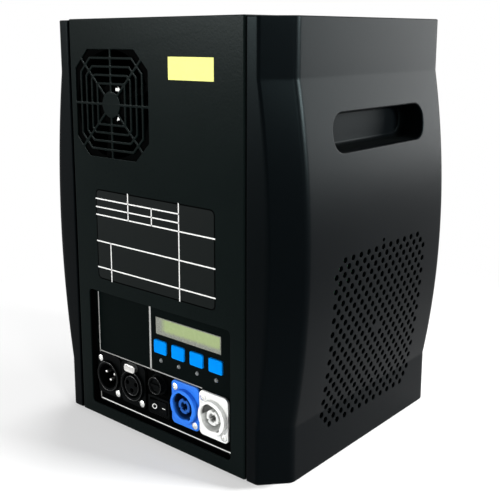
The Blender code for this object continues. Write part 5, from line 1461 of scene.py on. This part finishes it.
class SPARK_OT_fan(bpy.types.Operator):
    """Makes the cooling fan behind the grille: frame, struts, hub with its bare label, and swept blades"""

    bl_idname = "spark.fan"
    bl_label = "Cooling fan"

    def execute(self, context):
        black = matt_black()
        square = rounded(GRILLE, (FAN_SIDE, FAN_SIDE), 0.004)
        corners = [(GRILLE[0] + a * FAN_SCREW, GRILLE[1] + b * FAN_SCREW) for a in (-1, 1) for b in (-1, 1)]
        loops = [square, circle(GRILLE, FAN_BORE, 96), *(circle(corner, 0.00215, 20) for corner in corners)]
        plates = [upright(loops, low, low + FAN_FLANGE, 0.0004) for low in (FAN_FRONT, FAN_BACK - FAN_FLANGE)]
        start = FAN_FLANGE + 0.0001
        duct = [(FAN_BORE, FAN_FRONT + start), (FAN_BORE + 0.0015, FAN_FRONT + start)]
        duct += [(r, FAN_BACK - start) for r, _ in reversed(duct)]
        tube = turned(duct, GRILLE, sides=96, tube=True)
        disc = [(0, 0.0030), (FAN_HUB, 0.0030), (FAN_HUB, 0.0004), (0, 0.0004)]
        hub = turned(softened([(r, FAN_FRONT + h) for r, h in disc], 0.0005), GRILLE)
        struts = []
        for turn in (0.35, 0.35 + TURN / 3, 0.35 + 2 * TURN / 3):
            way = np.array((math.cos(turn), math.sin(turn)))
            across = np.array((-way[1], way[0])) * 0.0022
            near, far = FAN_HUB * 0.9 * way, (FAN_BORE + 0.001) * way
            loop = np.array([far - across, far + across, near + across, near - across]) + GRILLE
            struts.append(upright([loop], FAN_FRONT + 0.0006, FAN_FRONT + 0.0029, 0.0004))
        housing = together(*plates, tube, hub, *struts)
        piece("fan_housing", housing, black, "black_plastic", stands_for=["fan_frame"])
        label = printed([circle(GRILLE, 0.0128, 64)], FAN_FRONT + 0.0004, 0.00015, 0.00004)
        piece("fan_label", label, black, "black_plastic")
        heads = np.array([(0.0042, -0.0112), (0.0084, -0.0100), (0.0056, -0.0078)])
        stem = [(0.0036, 0.0096), (0.0062, 0.0096), (0.0062, 0.0086), (0.0086, 0.0106)]
        stem = np.array(stem + [(0.0062, 0.0126), (0.0062, 0.0116), (0.0036, 0.0116)])
        marks = together(*(printed([mark + GRILLE], FAN_FRONT + 0.00025) for mark in (heads, stem)))
        white = print_ink("white_ink", tuple(context.scene.spark_colours.ink_white))
        piece("fan_arrows", marks, white, "white_plastic", merge=FINE)
        front, back = FAN_FRONT + 0.0036, FAN_BACK - GAP
        cup = turned(softened([(0, front), (FAN_HUB, front), (FAN_HUB, back), (0, back)], 0.001), GRILLE)
        wheel = together(cup, *(self.blade(front, back, number) for number in range(FAN_BLADES)))
        piece("fan_wheel", wheel, black, "black_plastic", body="fan_rotor", stands_for=["fan_rotor"])
        return {"FINISHED"}

    def blade(self, front, back, number):
        """A swept blade: each radius has a thin oval section along angle = centre + e reach, depth = e D.

        Its root starts inside the hub and its tip clears the bore.
        """
        stations, around = 13, 20
        root, tip = FAN_HUB - 0.001, FAN_BORE - 0.0012
        middle, depth = (front + back) / 2, (back - front) / 2 - GAP
        share = np.linspace(0, 1, stations)[:, None]
        radius = root + (tip - root) * share
        way = TURN * np.arange(around) / around
        e, side = np.cos(way)[None], np.sin(way)[None]
        reach = depth * np.tan(math.radians(35) + math.radians(18) * share) / radius
        centre = TURN * number / FAN_BLADES + math.radians(24) * share
        t = centre + e * reach + (0.0007 * side - 0.0016 * (1 - e * e)) / radius
        a, b = radius * np.cos(t), radius * np.sin(t)
        points = placed("Y", GRILLE[0] + a, GRILLE[1] + b, middle + e * depth + 0 * share)
        ends = np.arange(around)[None]
        return points, [quads(stations, around, False, True), ends, ends + (stations - 1) * around]


# Top and feet


class SPARK_OT_top_fittings(bpy.types.Operator):
    """Makes the nozzle, the filler lid with its hinge, and the pin through it"""

    bl_idname = "spark.top_fittings"
    bl_label = "Nozzle and lid"

    def execute(self, context):
        low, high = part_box("nozzle_tube")
        base = TOP + GAP
        tube = [(NOZZLE_BORE, low.z), (NOZZLE_RADIUS, low.z), (NOZZLE_RADIUS, base)]
        rim = [(NOZZLE_FLANGE, base), (NOZZLE_FLANGE, high.z), (NOZZLE_BORE, high.z)]
        nozzle = turned(softened(tube + rim, 0.0007, 4, True), (0.0, 0.0), "Z", 96, tube=True)
        piece("nozzle", nozzle, heated_steel(), "stainless", stands_for=["nozzle_tube"])
        middle = (NOZZLE_RADIUS + NOZZLE_FLANGE) / 2
        screws = []
        for turn in TURN / 8 * np.arange(1, 8, 2):
            centre = (middle * math.cos(turn), middle * math.sin(turn))
            points, faces = screw_head(centre, 0.0022, 0.0, 0.0009)
            height = high.z - 0.0011 - points[:, 1]
            screws.append((np.column_stack([points[:, 0], points[:, 2], height]), faces))
        piece("nozzle_screws", together(*screws), screw_steel(), "zinc_steel")
        lid = [(0, base + 0.0015), (LID_RADIUS, base + 0.0015), (LID_RADIUS, base)]
        plug = [(LID_PLUG, base), (LID_PLUG, base - 0.003), (0, base - 0.003)]
        disc = turned(softened(lid + plug, 0.0006, 4), (0.0, FILLER_Y), "Z", 96)
        strap = grown((0.0, 0.0845), (2 * HINGE_HALF, 0.0072), 0.0008, 3)
        arm = stacked(strap, [(0, base + 0.0004), (0, base + 0.0011)], "Z")
        ring = [(HINGE_BORE, -HINGE_HALF), (HINGE_RADIUS, -HINGE_HALF)]
        knuckle = turned(ring + [(r, -x) for r, x in reversed(ring)], HINGE, "X", 32, True)
        lid, node = together(disc, arm, knuckle), "filler_lid"
        piece("lid", lid, powder_coat(), "powder_black", body=node, stands_for=[node])
        end = HINGE_HALF + GAP + HINGE_LUG
        pin = turned(softened([(0, -end), (PIN, -end), (PIN, end), (0, end)], 0.0002), HINGE, "X", 24)
        piece("hinge_pin", pin, zinc(), "zinc_steel", stands_for=["lid_hinge_pin"])
        return {"FINISHED"}


class SPARK_OT_feet(bpy.types.Operator):
    """Makes the four rubber feet, each with a dished sole and a groove round it"""

    bl_idname = "spark.feet"
    bl_label = "Feet"

    def execute(self, context):
        sole = [(0, 0.0012), (0.0045, 0.0012), (0.0055, 0.0), (0.0095, 0.0)]
        flank = [(0.0102, 0.0026), (0.0098, 0.0031), (0.0105, 0.0036), (0.011, 0.0057), (0, 0.0057)]
        for end in ("rear", "front"):
            for side in ("left", "right"):
                node = f"foot_{end}_{side}"
                low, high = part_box(node)
                centre = ((low.x + high.x) / 2, (low.y + high.y) / 2)
                foot = turned(softened(sole + flank, 0.0005), centre, "Z", 64)
                piece(f"rubber_{node}", foot, foot_rubber(), "rubber_black", stands_for=[node])
        return {"FINISHED"}


class SPARK_OT_inner_works(bpy.types.Operator):
    """Makes the blower's wheel and gives the other pieces inside, whose shape stays, their own finishes"""

    bl_idname = "spark.inner_works"
    bl_label = "Inner works"

    def execute(self, context):
        looks = {
            heated_steel: ("furnace_barrel", "riser_duct"),
            brushed_stainless: ("granule_hopper", "feed_tube", "feed_screw"),
            galvanised: ("furnace_bracket", "power_supply"),
            zinc: ("feed_motor", "blower_motor", "display_module"),
            mica_band: ("heater_sleeve",),
            circuit_board: ("main_board", "key_board", "card_reader_board"),
            black_plastic: ("blower_housing",),
            fuse_tube_glass: ("fuse_link",),
        }
        for look, names in looks.items():
            for name in names:
                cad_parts[name].material_slots[0].material = look()
        self.blower_wheel()
        return {"FINISHED"}

    def blower_wheel(self):
        """A disc with its hub and round shaft, and blades at angles that grow with the radius as s^1.5."""
        x, z = BLOWER_CENTRE
        hub = [(0, -0.011), (0.006, -0.011), (0.006, 0.009), (0.031, 0.009), (0.031, 0.011)]
        shaft = [(0.0018, 0.011), (0.0018, 0.015), (0, 0.015)]
        parts = [turned(softened(hub + shaft, 0.0004), (x, z), sides=64)]
        s = np.linspace(0, 1, 9)
        r = 0.020 + 0.0095 * s
        for start in TURN * np.arange(BLOWER_BLADES) / BLOWER_BLADES:
            way = start + math.radians(2) + math.radians(13) * s**1.5
            turns = (way, way + math.radians(3))
            near, far = (np.column_stack([x + r * np.cos(turn), z + r * np.sin(turn)]) for turn in turns)
            parts.append(upright([np.concatenate([near, far[::-1]])], -0.011, 0.0095, 0.0002, 1))
        wheel, node = together(*parts), "blower_impeller"
        piece("blower_wheel", wheel, black_plastic(), "black_plastic", body=node, stands_for=[node])


# Studio


MIDDLE = (0.0, 0.0, 0.16)


def lamp(name, place, size, power):
    """A soft lamp at a place, which looks at the machine's middle."""
    light = bpy.data.lights.new(name, "AREA")
    light.shape = "RECTANGLE"
    light.size, light.size_y = size
    light.energy = power
    obj = bpy.data.objects.new(name, light)
    obj.location = place
    obj.rotation_euler = (Vector(MIDDLE) - obj.location).to_track_quat("-Z", "Y").to_euler()
    bpy.context.scene.collection.objects.link(obj)


def rays_that_see(tree, path):
    """1 for the camera's rays, mirrored ones and those through glass, 0 for those that only carry light."""
    kinds = ("Is Camera Ray", "Is Glossy Ray", "Is Transmission Ray")
    camera, glossy, through = (Value(tree, path.outputs[kind]) for kind in kinds)
    return camera.math("MINIMUM", camera + glossy + through, 1.0)


class SPARK_OT_studio(bpy.types.Operator):
    """Makes the pale floor, the soft lamps, the world and the camera"""

    bl_idname = "spark.studio"
    bl_label = "Studio"

    def execute(self, context):
        scene = context.scene
        settings = scene.spark_studio
        scene.view_settings.view_transform = "Standard"
        self.floor()
        self.world(scene, settings.fill_light)
        lamp("control_lamp", (-0.95, -1.49, 0.48), (0.68, 0.16), settings.control_light)
        lamp("side_lamp", (0.92, 1.52, 0.46), (0.9, 0.8), settings.side_light)
        lamp("edge_lamp", (1.45, 0.51, 0.54), (0.45, 0.16), settings.edge_light)
        lamp("corner_lamp", (1.42, -0.68, 0.62), (0.25, 0.25), settings.corner_light)
        lamp("top_lamp", (-0.25, 0.35, 1.80), (0.45, 0.45), settings.top_light)
        camera = bpy.data.cameras.new("camera")
        camera.lens = settings.lens
        camera.shift_x, camera.shift_y = 0.0468, -0.1002
        camera.clip_start, camera.clip_end = 0.01, 50.0
        obj = bpy.data.objects.new("camera", camera)
        obj.location = (0.4036, -0.4814, 0.2928)
        obj.rotation_euler = Euler([math.radians(turn) for turn in (78.7828, 0.2179, 41.5394)])
        scene.collection.objects.link(obj)
        scene.camera = obj
        return {"FINISHED"}

    def floor(self):
        """A wide pale sheet, faintly uneven, and plain white to the camera away from the machine."""
        mesh = bpy.data.meshes.new("floor")
        side = 30.0
        corners = [(-side, -side, 0), (side, -side, 0), (side, side, 0), (-side, side, 0)]
        mesh.from_pydata(corners, [], [(0, 1, 2, 3)])
        look = Finish("floor_paper", Specular_IOR_Level=0.0, Roughness=0.9)
        look.colour(look.mix(look.noise(6.0, 2.0), (0.95, 0.95, 0.95), (0.97, 0.97, 0.97)))
        distance = look.node("ShaderNodeVectorMath", {"operation": "LENGTH"}, "Value", _0=look.place)
        path = look.tree.nodes.new("ShaderNodeLightPath")
        far = look.spread(distance, 0.15, 0.45, 0.4, 1.0) * rays_that_see(look.tree, path)
        glow = look.node("ShaderNodeEmission", Strength=1.0)
        plain = Value(look.tree, look.shader.outputs[0])
        blend = look.node("ShaderNodeMixShader", _0=far, _1=plain, _2=glow)
        output = look.tree.nodes["Material Output"]
        fill(look.tree, output.inputs["Surface"], blend)
        mesh.materials.append(look.material)
        obj = bpy.data.objects.new("floor", mesh)
        bpy.context.scene.collection.objects.link(obj)

    def world(self, scene, fill_light):
        """White to the camera, to mirrors and through glass, and a plain fill light for everything else."""
        world = bpy.data.worlds.new("studio")
        world.use_nodes = True
        tree = world.node_tree
        background = tree.nodes["Background"]
        seen = rays_that_see(tree, tree.nodes.new("ShaderNodeLightPath"))
        fill(tree, background.inputs["Strength"], seen.math("MAXIMUM", seen, fill_light))
        scene.world = world
        background.inputs["Color"].default_value = (1.0, 1.0, 1.0, 1.0)


# Settings and sidebar


def number(name, text, default, low, high, **kind):
    return FloatProperty(name=name, description=text, default=default, min=low, max=high, **kind)


def length(*words):
    return number(*words, subtype="DISTANCE", unit="LENGTH", precision=5)


def power(name, text, default):
    return number(name, text, default, 0.0, 500.0, unit="POWER")


def colour(name, text, default):
    return FloatVectorProperty(name=name, description=text, default=default, min=0, max=1, subtype="COLOR")


class SparkSizes(bpy.types.PropertyGroup):
    strip_bend: length("Strip bend", "Radius of a cover's bend beside the panels", 0.004, 0.002, 0.012)
    side_bend: length("Side bend", "Radius of a cover's bend beside its side", 0.0085, 0.002, 0.012)
    cover_ease: length("Cover edge", "Radius of a cover's seam and top edges", 0.0009, 0.0002, 0.002)
    vent_radius: length("Vent radius", "Radius of a vent hole", 0.0021, 0.0010, 0.0024)
    vent_dish: length("Vent dish", "Width of the dished rim round a vent", 0.00030, 0.0001, 0.0005)
    slot_lip: length("Handle lip", "Radius of the rolled edge of the handle slot", 0.0012, 0.0005, 0.003)
    sheet_bend: length("Sheet bend", "Outer radius of the folds of the sheet", 0.0018, 0.0014, 0.004)
    sheet_ease: length("Sheet edge", "Radius of the cut edges of the sheet", 0.0005, 0.0001, 0.00055)


class SparkColours(bpy.types.PropertyGroup):
    panel_black: colour("Panel black", "Powder coat of the sheets", (0.0018, 0.0036, 0.0034))
    cover_black: colour("Cover black", "Moulded side covers", (0.0004, 0.0006, 0.0009))
    key_blue: colour("Key blue", "The four keys", (0.0002, 0.22, 0.74))
    inlet_blue: colour("Inlet blue", "Power inlet", (0.020, 0.17, 0.72))
    outlet_white: colour("Outlet white", "Power outlet", (0.80, 0.81, 0.79))
    sticker_yellow: colour("Sticker yellow", "Bare sticker", (0.80, 0.80, 0.24))
    label_grey: colour("Label grey", "Ruled label", (0.0022, 0.0038, 0.0036))
    ink_white: colour("White ink", "Printed lines", (0.80, 0.80, 0.78))
    display_green: colour("Display green", "Field of the display", (0.29, 0.36, 0.17))


class SparkStudio(bpy.types.PropertyGroup):
    lens: number("Lens", "Focal length of the camera", 59.08, 20.0, 200.0, unit="CAMERA")
    control_light: power("Control lamp", "Lamp of the control side", 26.5)
    side_light: power("Side lamp", "Lamp behind the vented side", 23.0)
    edge_light: power("Edge lamp", "Small lamp beside the vented side", 54.0)
    corner_light: power("Corner lamp", "Weak lamp at the near corner", 8.0)
    top_light: power("Top lamp", "Lamp over the machine", 16.0)
    fill_light: number("Fill", "Strength of the world for all but mirrors", 0.08, 0.0, 1.0)


OPERATORS = (
    SPARK_OT_side_covers,
    SPARK_OT_folded_panels,
    SPARK_OT_labels,
    SPARK_OT_control_tray,
    SPARK_OT_display_and_keys,
    SPARK_OT_data_connectors,
    SPARK_OT_power_connectors,
    SPARK_OT_fuse_and_switch,
    SPARK_OT_fan,
    SPARK_OT_top_fittings,
    SPARK_OT_feet,
    SPARK_OT_inner_works,
    SPARK_OT_studio,
)
GROUPS = {"spark_sizes": SparkSizes, "spark_colours": SparkColours, "spark_studio": SparkStudio}


class SPARK_PT_machine(bpy.types.Panel):
    """Lists the machine's settings and its pieces in the sidebar"""

    bl_idname = "SPARK_PT_machine"
    bl_label = "Cold spark machine"
    bl_space_type = "VIEW_3D"
    bl_region_type = "UI"
    bl_category = "Spark machine"

    def draw(self, context):
        for name, group in GROUPS.items():
            box = self.layout.box()
            for setting in group.__annotations__:
                box.prop(getattr(context.scene, name), setting)
        for operator in OPERATORS:
            self.layout.operator(operator.bl_idname)


def register():
    for known in (*GROUPS.values(), *OPERATORS, SPARK_PT_machine):
        bpy.utils.register_class(known)
    for name, group in GROUPS.items():
        setattr(bpy.types.Scene, name, PointerProperty(type=group))


def unregister():
    for name in GROUPS:
        delattr(bpy.types.Scene, name)
    for known in reversed((*GROUPS.values(), *OPERATORS, SPARK_PT_machine)):
        bpy.utils.unregister_class(known)


def main():
    register()
    for operator in OPERATORS:
        family, name = operator.bl_idname.split(".")
        getattr(getattr(bpy.ops, family), name)()


if __name__ == "__main__":
    main()
